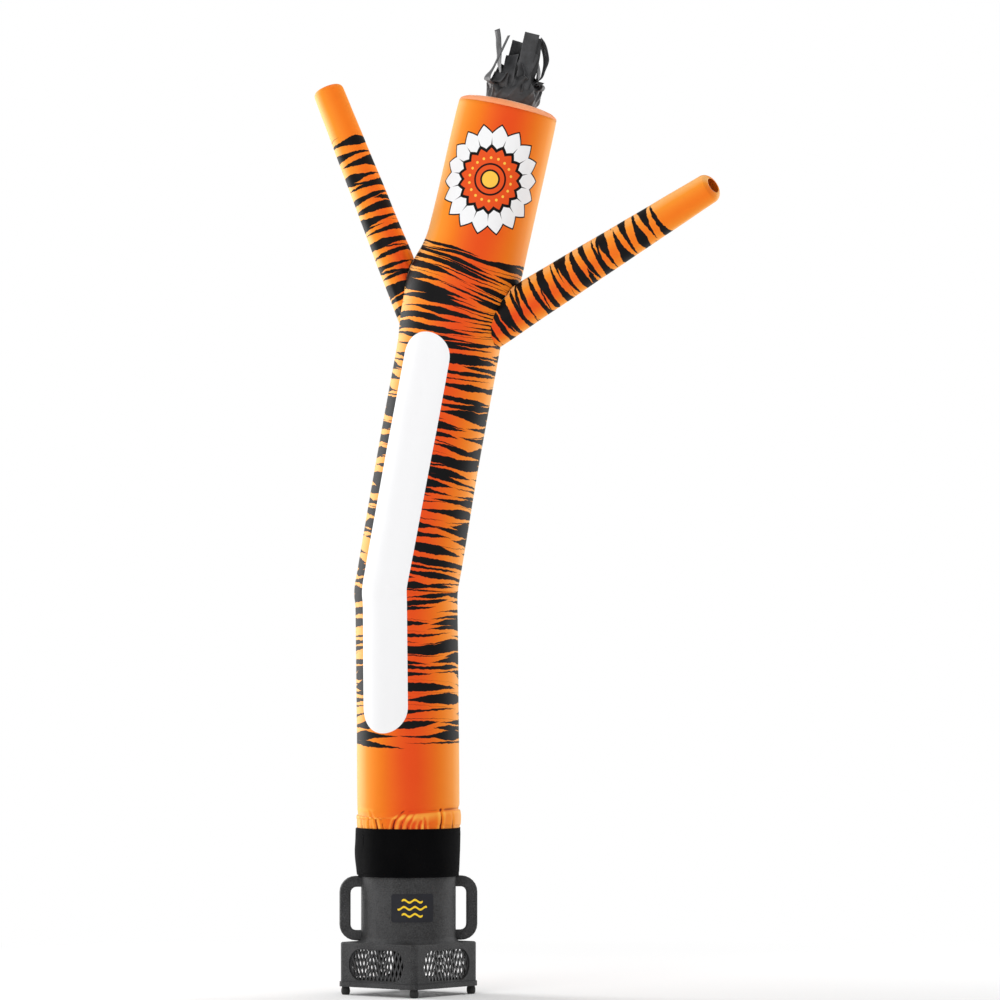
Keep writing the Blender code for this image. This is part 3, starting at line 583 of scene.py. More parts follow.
def make_rubber():
    """Moulded natural rubber foot: dull black with a grey bloom."""
    material, add, shader = new_material("moulded_rubber", IOR=1.52)
    _, bloom, dye = cloudy_dye(add, 160.0, 4.0, (0.3, "#161616"), (0.85, "#2B2B2A"))
    rough = add("MapRange", Value=bloom, To_Min=0.72, To_Max=0.92)
    relief = add("Bump", Height=bloom, Distance=0.0004, Strength=0.3)
    join(shader, Base_Color=dye, Roughness=rough, Normal=relief)
    return material


# The label's printed air lines: wave length, swing and half thickness, and each one's place and half length
AIR_WAVE = 0.034
AIR_SWING = 0.0042
AIR_HALF = 0.0034
AIR_EDGE = 0.0004
AIR_YELLOW = colour("#FBD024")
AirLine = namedtuple("AirLine", "up half_length")
AIR_LINES = (AirLine(-0.022, 0.030), AirLine(0.0, 0.043), AirLine(0.022, 0.030))


def make_label_film():
    """Black polyester film with three plain printed lines of blown air, and a soft gloss."""
    material, add, shader = new_material("printed_polyester_film", IOR=1.57, Specular_IOR_Level=0.25)
    place, smear, dye = cloudy_dye(add, 45.0, 4.0, (0.3, "#14151C"), (0.8, "#1B1C24"))
    rough = add("MapRange", Value=smear, To_Min=0.30, To_Max=0.45)
    low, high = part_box("label_plate")
    split = add("SeparateXYZ", place)
    across = add("SUBTRACT", split.outputs["X"], (low.x + high.x) / 2)
    up = add("SUBTRACT", split.outputs["Z"], (low.z + high.z) / 2)
    wave = add("MULTIPLY", add("SINE", add("MULTIPLY", across, 2 * math.pi / AIR_WAVE)), AIR_SWING)
    lines = 0.0
    for line in AIR_LINES:
        off = add("SUBTRACT", add("SUBTRACT", up, line.up), wave)
        beyond = add("MAXIMUM", add("SUBTRACT", add("ABSOLUTE", across), line.half_length), 0.0)
        far = add("SQRT", add("MULTIPLY_ADD", off, off, add("MULTIPLY", beyond, beyond)))
        lines = add("MAXIMUM", lines, over(add, AIR_HALF, far, 1 / AIR_EDGE))
    printed = add("MixRGB", lines, dye, AIR_YELLOW)
    relief = add("Bump", Height=smear, Distance=0.0003, Strength=0.1)
    join(shader, Base_Color=printed, Roughness=rough, Normal=relief)
    return material


BACKDROP = colour("#FFFFFF")
FLOOR_GREY = colour("#E6E6E6")
FLOOR_NEAR = 0.6
FLOOR_FAR = 3.2
FLOOR_RADIUS = 70.0


def make_floor_paper():
    """Pale matt studio floor that runs out into the plain backdrop's light."""
    material, add, shader = new_material(
        "studio_floor", Roughness=0.9, Specular_IOR_Level=0.0, Emission_Color=BACKDROP)
    place = add("TexCoord").outputs["Object"]
    away = add("VectorMath", place, operation="LENGTH").outputs["Value"]
    far = add("MapRange", away, FLOOR_NEAR, FLOOR_FAR, interpolation_type="SMOOTHSTEP")
    join(shader, Base_Color=add("MixRGB", far, FLOOR_GREY, colour("#000000")), Emission_Strength=far)
    return material


# Mesh making

def new_object(name, data):
    """An object of the scene that holds a mesh, a lamp or a lens."""
    made = bpy.data.objects.new(name, data)
    bpy.context.scene.collection.objects.link(made)
    return made


def smooth_rows(rows, spacing):
    """Rows read from a smooth curve through a table's rows; spacing gives the step at a row."""
    table = np.array(rows, float)
    padded = np.vstack((2 * table[0] - table[1], table, 2 * table[-1] - table[-2]))
    made = []
    for k in range(1, len(padded) - 2):
        before, here, after, beyond = padded[k - 1:k + 3]
        pairs = ((before, here), (here, after), (after, beyond))
        gaps = [max(np.hypot(*(b - a)[:2]), 1e-6) for a, b in pairs]
        start = (after - before) / (gaps[0] + gaps[1]) * gaps[1]
        end = (beyond - here) / (gaps[1] + gaps[2]) * gaps[1]
        steps = max(1, math.ceil(gaps[1] / spacing(here[0])))
        for t in np.arange(steps) / steps:
            made.append(
                (2 * t ** 3 - 3 * t ** 2 + 1) * here + (t ** 3 - 2 * t ** 2 + t) * start
                + (3 * t ** 2 - 2 * t ** 3) * after + (t ** 3 - t ** 2) * end)
    made.append(table[-1])
    return np.array(made)


def skin(name, points, material, closed=False, across=None, along=None, thickness=CLOTH):
    """A cloth skin through a grid of points; closed joins its last column to its first.

    across and along are the flat cloth's places of the columns and of the rows or points, in metres.
    """
    rows, columns = points.shape[:2]
    wide = columns if closed else columns - 1
    row, column = np.meshgrid(np.arange(rows - 1), np.arange(wide), indexing="ij")
    row, column = row.ravel(), column.ravel()
    after = (column + 1) % columns
    low, high = row * columns, (row + 1) * columns
    faces = np.stack((low + column, low + after, high + after, high + column), axis=1)
    mesh = bpy.data.meshes.new(name)
    mesh.from_pydata(points.reshape(-1, 3).tolist(), [], faces.tolist())
    if across is not None:
        layer = mesh.uv_layers.new(name="print")
        u = np.stack((across[column], across[column + 1], across[column + 1], across[column]), axis=1)
        if along.ndim == 1:
            along = np.repeat(along[:, None], columns, axis=1)
        v = along.ravel()[faces]
        layer.data.foreach_set("uv", np.stack((u, v), axis=2).ravel().astype(np.float32))
    mesh.validate()
    piece = new_object(name, mesh)
    mesh.materials.append(material)
    mesh.shade_smooth()
    if thickness:
        solid = piece.modifiers.new("cloth_thickness", "SOLIDIFY")
        solid.thickness = thickness
        solid.offset = -1.0
    return piece


def dress(piece, slot, *nodes):
    """Ride on the part and stand for the nodes, which are hidden; slot is not used."""
    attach(piece, "root")
    if nodes:
        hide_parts(*nodes)


def bell(value):
    """A smooth bump: 1 at 0, near 0 past 2."""
    return math.exp(-value * value)


# Body tube

# Relief of the taut cloth: the soft fold over the gathers, the bulge and groove that run out at the
# left, the pinch of the bend, the ridge of the back seam, and the slack
FOLD_HEIGHT = 0.5800
FOLD_SWAY = 0.0065
FOLD_DEPTH = 0.0022
LEFT_BULGE = 0.0030
LEFT_GROOVE = 0.0020
BEND_SWAY = 0.006
BEND_HALF = 0.008
PINCH_DEPTH = 0.0042
PINCH_WELT = 0.0018
BEND_BULGE = 0.0034
SEAM_RIDGE = 0.0010
TUBE_SLACK = 0.0011


def wrapped(angle):
    """The angle between -180 and 180 degrees."""
    return (angle + 180) % 360 - 180


def tube_relief(degrees, z):
    """How far the taut cloth stands out at a place, from gathers, folds and slack."""
    height = 0.0
    if z < FINE_BELOW:
        for crease in COLLAR_CREASES:
            if not CREASE_FOOT - 0.01 < z < crease.high + 0.01:
                continue
            share = max(0.0, (z - CREASE_FOOT) / (crease.high - CREASE_FOOT))
            middle = crease.around + crease.drift * share * share
            gap = math.radians(wrapped(degrees - middle)) * TUBE_RADIUS
            depth = crease.depth * max(0.0, 1 - share) ** 0.5
            # A narrow groove with a low welt along each side
            height -= depth * bell(gap / (0.42 * crease.width))
            height += 0.45 * depth * bell((abs(gap) - 1.25 * crease.width) / (0.7 * crease.width))
        # A soft fold over the gathers, higher to the right and again to the left
        ridge = FOLD_HEIGHT + FOLD_SWAY * math.sin(math.radians(degrees * 1.1 - 20))
        height -= FOLD_DEPTH * bell((z - ridge) / 0.0060)
        height += FOLD_DEPTH * bell((z - ridge + 0.017) / 0.010)
        # On the left the bulge and the groove over the collar run out
        left = max(0.0, -math.sin(math.radians(degrees)))
        height += left * (LEFT_BULGE * bell((z - 0.576) / 0.010) - LEFT_GROOVE * bell((z - 0.556) / 0.010))
        # The cloth lies flat in the collar and swells out over its edge
        height = min(height, 0.0040 * (z - COLLAR_HIGH + 0.006) / 0.010)
    # The bend pinches the cloth on its inner side and pushes it out on the outer side
    bend = (z - BEND_HEIGHT - BEND_SWAY * math.sin(math.radians(degrees))) / BEND_HALF
    if abs(bend) < 6:
        inner = max(0.0, math.cos(math.radians(degrees - 62))) ** 0.5
        outer = max(0.0, -math.cos(math.radians(degrees - 82)))
        height -= PINCH_DEPTH * bell(bend) * inner
        height += PINCH_WELT * (bell(bend - 2.2) + bell(bend + 2.2)) * inner
        height += BEND_BULGE * bell(bend / 3) * outer
    # The sewn seam down the back stands out a little
    height += SEAM_RIDGE * bell((180 - abs(degrees)) / 1.6)
    spot = Vector((math.cos(math.radians(degrees)), math.sin(math.radians(degrees)), z * 2.6))
    height += TUBE_SLACK * noise.noise(spot * 1.7)
    return height


def tube_spacing(z):
    """How far apart the tube's rows lie at a height."""
    if z < FINE_BELOW:
        return FINE_ROW
    return BEND_ROW if abs(z - BEND_HEIGHT) < BEND_REACH else PLAIN_ROW


def make_tube(material):
    """Body tube: a taut skin with gathers at the collar and a fold at its bend."""
    rows = smooth_rows(TUBE_SECTIONS, tube_spacing)
    steps = np.hypot(*np.diff(rows[:, :2], axis=0).T)
    along = np.concatenate(([0.0], np.cumsum(steps)))
    slope = np.gradient(rows[:, 1], along), np.gradient(rows[:, 0], along)
    turns = np.linspace(-math.pi, math.pi, TUBE_COLUMNS + 1)
    points = np.empty((len(rows), TUBE_COLUMNS, 3))
    relief = np.empty((len(rows), TUBE_COLUMNS))
    for i, (z, x, diameter) in enumerate(rows.tolist()):
        lean = math.atan2(slope[0][i], slope[1][i])
        right = Vector((math.cos(lean), 0.0, -math.sin(lean)))
        middle = AXIS + Vector((x, 0.0, z))
        for j, turn in enumerate(turns[:-1]):
            relief[i, j] = tube_relief(math.degrees(turn), z)
            radius = diameter / 2 + float(relief[i, j])
            points[i, j] = middle + radius * (math.sin(turn) * right - math.cos(turn) * SIDEWAYS)
    tube = skin("body_tube_cloth", points, material, True, turns * TUBE_RADIUS, along)
    # The fold attribute carries the relief, which sets painted shade in creases and painted light on bulges
    folds = tube.data.attributes.new("fold", "FLOAT", "POINT")
    depth = np.where(rows[:, :1] < FINE_BELOW, 1.0, BEND_SHADE_SHARE) * relief / CREASE_DEPTH
    folds.data.foreach_set("value", depth.ravel().astype(np.float32))
    dress(tube, "nylon_cloth", "body_lower", "body_upper", "body_shoulders", "body_head")
    return tube


# Arms

def arm_frame(arm):
    """Start of an arm's axis, its length, and its directions along, across and in depth."""
    ends = []
    for x, z in ((arm.root_x, arm.root_z), (arm.tip_x, arm.tip_z)):
        ends.append(AXIS + Vector((x, (x - arm.meet_x) * math.tan(DANCER_TURN), z)))
    along = (ends[1] - ends[0]).normalized()
    across = SIDEWAYS.cross(along).normalized()
    return ends[0], (ends[1] - ends[0]).length, along, across, along.cross(across)


def make_arm(arm, wall, material):
    """One arm: a tapered skin from its seam on the tube to the vent in its rounded end."""
    root, length, along, across, depth = arm_frame(arm)
    straight = length - TIP_ROUNDING
    half, tip, vent = arm.root_diameter / 2, arm.tip_diameter / 2, VENT_DIAMETER / 2
    points = np.empty((ARM_ROWS + 1 + TIP_ROWS, ARM_COLUMNS, 3))
    up = np.empty(points.shape[:2])
    turns = np.linspace(-math.pi, math.pi, ARM_COLUMNS + 1)
    for j, turn in enumerate(turns[:-1]):
        outward = -math.cos(turn) * depth + math.sin(turn) * across
        spot = root + along * length * 0.45 + outward * half
        hit = wall.ray_cast(spot, -along)
        seam = (hit[0] - root).dot(along) if hit[0] else 0.12
        for i in range(ARM_ROWS + 1):
            share = (i / ARM_ROWS) ** 1.25
            far = seam + (straight - seam) * share
            taper = far / straight
            radius = half + (tip - half) * taper
            near_seam = (far - seam) / GATHER_REACH
            gather = ARM_GATHER * math.exp(-near_seam) * math.sin(13 * turn + 1.7 * math.sin(2 * turn))
            dip = ARM_DIP * math.exp(-near_seam * 3.0)
            slack = ARM_SLACK * noise.noise(Vector((math.cos(turn), math.sin(turn), far * 9 + half * 100)))
            points[i, j] = root + along * far + outward * (radius + gather - dip + slack)
            up[i, j] = far
        for k in range(1, TIP_ROWS + 1):
            a = math.pi / 2 * k / TIP_ROWS
            radius = vent + (tip - vent) * math.cos(a)
            back = arm.vent_slant * math.cos(turn) * radius / tip * math.sin(a)
            far = straight + TIP_ROUNDING * math.sin(a) - back
            points[ARM_ROWS + k, j] = root + along * far + outward * radius
            up[ARM_ROWS + k, j] = straight + (tip - vent) * k / TIP_ROWS
    mean = math.pi * (arm.root_diameter + arm.tip_diameter) / 2
    cloth = skin(f"{arm.name}_cloth", points, material, True, turns * mean / (2 * math.pi), up)
    dress(cloth, "nylon_cloth", f"{arm.name}_front", f"{arm.name}_back")


# Head

def head_place(point):
    """A point given over the middle of the head's rim, leaning with the head."""
    rim = TUBE_SECTIONS[-1]
    c, s = math.cos(HEAD_LEAN), math.sin(HEAD_LEAN)
    return AXIS + Vector((rim.x + point.x * c + point.z * s, point.y, rim.z - point.x * s + point.z * c))


def make_cap(material):
    """Round cap sewn to the head's rim, domed by the air, with pulls in from its seam."""
    rows = smooth_rows(CAP_PROFILE, lambda share: CAP_ROW)
    radius = TUBE_SECTIONS[-1].diameter / 2
    points = np.empty((len(rows), TUBE_COLUMNS, 3))
    for i, (share, rise) in enumerate(rows.tolist()):
        for j in range(TUBE_COLUMNS):
            turn = 2 * math.pi * j / TUBE_COLUMNS
            pull = 0.0011 * math.sin(31 * turn + 2 * math.sin(3 * turn)) * bell((share - 0.93) / 0.07)
            r = radius * share
            points[i, j] = head_place(Vector((r * math.sin(turn), -r * math.cos(turn), rise + pull)))
    cap = skin("head_cap_cloth", points, material, True)
    dress(cap, "nylon_cloth", "head_cap")


# Tuft

def tuft_middle(rise):
    """Middle of the tuft at a height over the head's rim: it shifts to the right as it rises."""
    return Vector((0.003 + 0.08 * (rise - TUFT_FOOT), 0.0, rise))


def make_tuft_root(material):
    """Gathered foot of the tuft: folds fan up and out of a round seam, and lean in at the top."""
    points = np.empty((TUFT_ROWS + 1 + HEART_ROWS, TUFT_COLUMNS, 3))
    for i in range(TUFT_ROWS + 1):
        share = i / TUFT_ROWS
        belly = TUFT_RADIUS + 0.0062 * math.sin(math.pi * min(1.0, share * 1.15))
        belly -= 0.030 * max(0.0, share - 0.50) ** 1.4
        for j in range(TUFT_COLUMNS):
            turn = 2 * math.pi * j / TUFT_COLUMNS
            spot = Vector((2.4 * math.cos(turn), 2.4 * math.sin(turn), 2.0 * share))
            # Folds are sharp ridges with flat sides that slant as they rise, and no two are alike
            fold = 1 - 2 * abs(math.sin(3.5 * turn + 1.3 * math.sin(2 * turn) + 1.5 * share))
            small = 1 - 2 * abs(math.sin(7.5 * turn + 0.9 * math.sin(3 * turn + 1) - 2.8 * share))
            depth = 0.0006 + 0.0150 * share ** 0.8
            r = belly + depth * (0.60 * fold + 0.40 * small) + 0.010 * share * noise.noise(spot)
            z = TUFT_HEIGHT * share + 0.013 * share * share * math.sin(4 * turn + 0.7)
            outward = Vector((math.cos(turn), math.sin(turn), 0.0))
            points[i, j] = head_place(tuft_middle(TUFT_FOOT + z) + outward * r)
    # Between the ribbons the gather's heart runs in and down to the tie in its middle
    heart = np.array(head_place(tuft_middle(TUFT_FOOT + TUFT_HEIGHT - HEART_DEPTH)))
    for k in range(1, HEART_ROWS + 1):
        points[TUFT_ROWS + k] = points[TUFT_ROWS] + (heart - points[TUFT_ROWS]) * 0.97 * (k / HEART_ROWS)
    root = skin("tuft_gather", points, material, True, thickness=TUFT_CLOTH)
    dress(root, "ribbon_cloth", "hair_tuft")


def turned_lean(ribbon, share):
    """Degrees that a ribbon has turned by a share of its length, at its fold or little by little."""
    if not ribbon.fold:
        return ribbon.curl * share * share
    past = min(1.0, max(0.0, (share - ribbon.fold) / FOLD_SPREAD + 0.5))
    return ribbon.curl * past * past * (3 - 2 * past)


def ribbon_points(ribbon, number):
    """Grid of one ribbon that leans, folds, twists and creases out of the gather."""
    around = math.radians(ribbon.around)
    outward = Vector((math.cos(around), math.sin(around), 0.0))
    tangent = Vector((-outward.y, outward.x, 0.0))
    whole = ribbon.length + RIBBON_SUNK
    first = math.radians(ribbon.lean)
    sunk = (outward * math.sin(first) + Vector((0.0, 0.0, math.cos(first)))) * RIBBON_SUNK
    point = tuft_middle(ribbon.foot) + outward * ribbon.seat - sunk
    points = np.empty((RIBBON_ROWS + 1, RIBBON_COLUMNS + 1, 3))
    for i in range(RIBBON_ROWS + 1):
        share = i / RIBBON_ROWS
        wave = 5.0 * math.sin(7 * share + number * 1.9) * share
        lean = math.radians(ribbon.lean + turned_lean(ribbon, share) + wave)
        heading = outward * math.sin(lean) + Vector((0.0, 0.0, math.cos(lean)))
        heading = (heading + Vector((math.tan(math.radians(ribbon.sway)), 0.0, 0.0))).normalized()
        aside = (tangent - heading * tangent.dot(heading)).normalized()
        inward = heading.cross(aside)
        twist = math.radians(ribbon.twist) * min(1.0, 1.6 * share)
        # Soft crosswise creases where the ribbon leaves the gather, and one fold along it
        crease = math.sin(share * whole * 120 + number * 2.3) * math.exp(-share * whole / 0.055)
        # The foot is as wide as its share of the gather, and bent to the gather's round
        width = ribbon.width * (1.16 - 0.16 * min(1.0, share * 3))
        round_foot = max(0.0, 1 - 3 * share) / (2 * ribbon.seat)
        for j in range(RIBBON_COLUMNS + 1):
            across = (j / RIBBON_COLUMNS - 0.5) * width
            ridge = width / 2 - abs(across - 0.14 * width * math.sin(number))
            bow = 0.24 * ridge * math.cos(2.2 * share + number) + 0.0044 * crease * (1 - across / width)
            side = aside * math.cos(twist) + inward * math.sin(twist)
            points[i, j] = head_place(point + side * across + inward * (bow + across * across * round_foot))
        point = point + heading * (whole / RIBBON_ROWS)
    return points


def make_ribbons(material):
    """Loose ribbons that stand out of the gather."""
    for number, ribbon in enumerate(RIBBONS):
        points = ribbon_points(ribbon, number)
        strip = skin(f"tuft_ribbon_{number + 1}", points, material, thickness=RIBBON_CLOTH)
        dress(strip, "ribbon_cloth")


# Collar

COLLAR_THICKNESS = 0.0024
# Height and outer radius
COLLAR_PROFILE = (
    (COLLAR_LOW, 0.1588), (0.378, 0.1592), (0.390, 0.1600), (0.438, 0.1618), (0.456, 0.1627),
    (0.500, 0.1636), (0.519, 0.1634), (COLLAR_HIGH, 0.1630),
)
COLLAR_ROW = 0.004
# The flap: where its free end is and how far it runs round, its thickness, and grid
FLAP_START = math.radians(177)
FLAP_SWEEP = math.radians(34)
FLAP_THICKNESS = 0.0018
FLAP_ROWS = 34
FLAP_COLUMNS = 26


def make_collar(material):
    """Wide black collar closed round the neck, with hemmed edges and shallow dents."""
    rows = smooth_rows(COLLAR_PROFILE, lambda z: COLLAR_ROW)
    points = np.empty((len(rows), TUBE_COLUMNS, 3))
    for i, (z, radius) in enumerate(rows.tolist()):
        from_edge = min(z - COLLAR_LOW, COLLAR_HIGH - z)
        hem = 0.0007 * bell((from_edge - 0.008) / 0.002)
        for j in range(TUBE_COLUMNS):
            turn = 2 * math.pi * j / TUBE_COLUMNS
            spot = Vector((math.cos(turn), math.sin(turn), z * 7)) * 1.6
            dent = 0.0014 * noise.noise(spot) * min(1.0, from_edge / 0.02)
            r = radius - hem + dent
            points[i, j] = AXIS + Vector((r * math.sin(turn), -r * math.cos(turn), z))
    collar = skin("collar_band", points, material, True, thickness=COLLAR_THICKNESS)
    dress(collar, "collar_tape", "collar")


def make_flap(material):
    """Loose end of the collar, lapped over itself and lifting a little."""
    low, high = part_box("collar_flap")
    points = np.empty((FLAP_ROWS + 1, FLAP_COLUMNS + 1, 3))
    for i in range(FLAP_ROWS + 1):
        z = low.z + (high.z - low.z) * i / FLAP_ROWS
        face = float(np.interp(z, *zip(*COLLAR_PROFILE)))
        for j in range(FLAP_COLUMNS + 1):
            share = j / FLAP_COLUMNS
            # It stands off most below its middle, where the tape bulges out
            bulge = bell((z - low.z - 0.062) / 0.045)
            lift = (0.0012 + 0.0046 * bulge) * (1 - share) ** 2
            turn = FLAP_START + FLAP_SWEEP * share
            # Its sewn end sinks into the collar's face, so only the free end shows
            lap = 0.0024 * min(1.0, 2 * (1 - share))
            r = face - 0.0005 + lap + lift
            points[i, j] = AXIS + Vector((r * math.cos(turn), r * math.sin(turn), z))
    flap = skin("collar_flap_band", points, material, thickness=FLAP_THICKNESS)
    dress(flap, "collar_tape", "collar_flap")


# Blower housing: the frame's form with rounder curves

BOX_HALF = 0.156
BOX_CORNER = 0.018
BOX_BOTTOM = 0.042
BOX_TOP = 0.165
BOX_EDGE = 0.005
BOX_WALL = 0.004
NECK_RADIUS = 0.149
NECK_BORE = 0.145
NECK_FLARE = 0.020
NECK_TOP = 0.443
FLANGE_RADIUS = 0.1555
RIDGE_RADIUS = 0.153
WINDOW_WIDTH = 0.227
WINDOW_HEIGHT = 0.101
WINDOW_MIDDLE = 0.0965
NECK_SIDES = 160
CURVE_STEPS = 12
EDGE_STEPS = 5
OVER_CUT = 0.02
GAP = 0.0003
SHARP_ANGLE = math.radians(32)
# Radii and heights of the neck's two flanges and the ridge beside each, from below
NECK_STEPS = (
    (NECK_RADIUS, 0.374), (FLANGE_RADIUS, 0.374), (FLANGE_RADIUS, 0.386), (RIDGE_RADIUS, 0.386),
    (RIDGE_RADIUS, 0.390), (NECK_RADIUS, 0.390), (NECK_RADIUS, 0.425), (RIDGE_RADIUS, 0.425),
    (RIDGE_RADIUS, 0.429), (FLANGE_RADIUS, 0.429), (FLANGE_RADIUS, NECK_TOP),
)


def lofted(rings, looped=False):
    """Points and faces of a closed form through rings; looped joins the last ring to the first."""
    count = len(rings[0])
    spots = [tuple(point) for ring in rings for point in ring]
    faces = []
    for k in range(len(rings) if looped else len(rings) - 1):
        low, high = k * count, (k + 1) % len(rings) * count
        faces += [(low + i, low + (i + 1) % count, high + (i + 1) % count, high + i) for i in range(count)]
    if not looped:
        faces += [tuple(range(count))[::-1], tuple(range(len(spots) - count, len(spots)))]
    return spots, faces


def loft(name, rings):
    """A piece with one lofted form."""
    spots, faces = lofted(rings)
    mesh = bpy.data.meshes.new(name)
    mesh.from_pydata(spots, [], faces)
    return new_object(name, mesh)


def turned(name, profile, sides):
    """A form turned round the upright axis, from a profile of radii and heights."""
    turns = [2 * math.pi * i / sides for i in range(sides)]
    return loft(name, [[(r * math.cos(a), r * math.sin(a), z) for a in turns] for r, z in profile])


def rounded_square(half, corner, z):
    """One ring of a square with round corners."""
    ring = []
    for quarter in range(4):
        for step in range(CURVE_STEPS + 1):
            a = math.pi / 2 * (quarter + step / CURVE_STEPS)
            x, y = ((half - corner) * s for s in ((1, 1), (-1, 1), (-1, -1), (1, -1))[quarter])
            ring.append((x + corner * math.cos(a), y + corner * math.sin(a), z))
    return ring


def round_ended(straight, radius):
    """A window's outline with two round ends, as (across, up) pairs."""
    outline = []
    for sign in (1, -1):
        for step in range(2 * CURVE_STEPS + 1):
            a = math.pi * (step / (2 * CURVE_STEPS) - 0.5)
            across = sign * (straight + radius * math.cos(a))
            outline.append((across, sign * radius * math.sin(a) + WINDOW_MIDDLE))
    return outline


def window_cutter(turn):
    """A slab with the window's outline, standing across one wall."""
    radius = WINDOW_HEIGHT / 2
    outline = round_ended(WINDOW_WIDTH / 2 - radius, radius)
    c, s = math.cos(turn), math.sin(turn)
    rings = []
    for y in (BOX_HALF + OVER_CUT, BOX_HALF - OVER_CUT):
        rings.append([(x * c - y * s, x * s + y * c, z) for x, z in outline])
    return loft("window_cutter", rings)


def joined(target, operation, cutter):
    """Cut or join two closed forms and keep the result in the first."""
    step = target.modifiers.new(operation, "BOOLEAN")
    step.operation = operation
    step.solver = "EXACT"
    step.object = cutter
    graph = bpy.context.evaluated_depsgraph_get()
    mesh = bpy.data.meshes.new_from_object(target.evaluated_get(graph))
    target.modifiers.clear()
    target.data = mesh
    bpy.data.objects.remove(cutter)


def rounder(piece):
    """Smooth shading that keeps sharp edges sharp and flat faces flat."""
    piece.data.shade_smooth()
    piece.data.set_sharp_from_angle(angle=SHARP_ANGLE)
    even = piece.modifiers.new("flat_faces_stay_flat", "WEIGHTED_NORMAL")
    even.keep_sharp = True


def make_housing(material):
    """Moulded housing: square box with windows under a flared round neck."""
    low, high = BOX_BOTTOM, BOX_TOP
    rings = [rounded_square(BOX_HALF, BOX_CORNER, z) for z in (low, high - BOX_EDGE)]
    for step in range(1, EDGE_STEPS + 1):
        a = math.pi / 2 * step / EDGE_STEPS
        inset = BOX_EDGE * (1 - math.cos(a))
        z = high - BOX_EDGE * (1 - math.sin(a))
        rings.append(rounded_square(BOX_HALF - inset, BOX_CORNER - inset / 2, z))
    housing = loft("housing_moulding", rings)
    profile = [(NECK_RADIUS + NECK_FLARE, high - 2 * BOX_EDGE)]
    for step in range(CURVE_STEPS + 1):
        a = math.pi / 2 * step / CURVE_STEPS
        profile.append((NECK_RADIUS + NECK_FLARE * (1 - math.sin(a)), high + NECK_FLARE * (1 - math.cos(a))))
    neck = turned("neck_form", profile + list(NECK_STEPS), NECK_SIDES)
    trim = [rounded_square(BOX_HALF - GAP, BOX_CORNER, z) for z in (high / 2, NECK_TOP + OVER_CUT)]
    joined(neck, "INTERSECT", loft("neck_trim", trim))
    joined(housing, "UNION", neck)
    hollow_heights = (low - OVER_CUT, high - BOX_WALL)
    hollow = [rounded_square(BOX_HALF - BOX_WALL, BOX_CORNER - BOX_WALL, z) for z in hollow_heights]
    joined(housing, "DIFFERENCE", loft("hollow", hollow))
    bore = ((NECK_BORE, high / 2), (NECK_BORE, NECK_TOP + OVER_CUT))
    joined(housing, "DIFFERENCE", turned("bore", bore, NECK_SIDES))
    for quarter in range(4):
        joined(housing, "DIFFERENCE", window_cutter(math.pi / 2 * quarter))
    place = Matrix.Translation(AXIS) @ Matrix.Rotation(BLOWER_TURN + math.pi / 4, 4, "Z")
    housing.data.transform(place)
    housing.data.materials.clear()
    housing.data.materials.append(material)
    rounder(housing)
    dress(housing, "moulded_plastic", "blower_housing")


# Radius and height
FOOT_PROFILE = (
    (0.0002, 0.0000), (0.0095, 0.0000), (0.0108, 0.0008), (0.0126, 0.0035), (0.0138, 0.0080),
    (0.0141, 0.0125), (0.0138, 0.0170), (0.0128, 0.0210), (0.0118, 0.0235), (0.0118, 0.0257),
    (0.0002, 0.0257),
)
FOOT_SIDES = 40


def make_feet(material):
    """Barrel-shaped rubber feet under the corners."""
    for number in range(1, 5):
        low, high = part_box(f"foot_{number}")
        foot = turned(f"foot_barrel_{number}", FOOT_PROFILE, FOOT_SIDES)
        foot.data.transform(Matrix.Translation(((low.x + high.x) / 2, (low.y + high.y) / 2, 0.0)))
        foot.data.materials.append(material)
        rounder(foot)
        dress(foot, "foot_rubber", f"foot_{number}")


# Grilles

GRILLE_THICKNESS = 0.002
GRILLE_BACK = BOX_HALF - BOX_WALL - GAP - GRILLE_THICKNESS
GRILLE_RIM = 0.0045
GRILLE_WIDTH = 0.2304
GRILLE_HEIGHT = 0.1044
DIAMOND_WIDTH = 0.0156
DIAMOND_HEIGHT = 0.046
BAR_WIDTH = 0.0054
BAR_THICKNESS = 0.0014
BAR_LEAN = 0.0004
BAR_STEPS = 200


def inside_stadium(x, up):
    """Whether a place is in the grille's outline, with round ends."""
    radius = GRILLE_HEIGHT / 2
    return math.hypot(max(0.0, abs(x) - (GRILLE_WIDTH / 2 - radius)), up) <= radius - 0.001


def lattice_bars():
    """Two families of slanted bars, each cut to the outline: (start, end) pairs of (across, up)."""
    slope = DIAMOND_HEIGHT / DIAMOND_WIDTH
    reach = GRILLE_HEIGHT / 2
    bars = []
    count = math.ceil((GRILLE_WIDTH / 2 + reach / slope) / DIAMOND_WIDTH)
    for way in (-1, 1):
        for number in range(-count, count + 1):
            kept = []
            for step in range(BAR_STEPS + 1):
                up = -reach + 2 * reach * step / BAR_STEPS
                x = number * DIAMOND_WIDTH + way * up / slope
                if inside_stadium(x, up):
                    kept.append((x, up))
            if len(kept) > 4:
                bars.append((kept[0], kept[-1], way))
    return bars


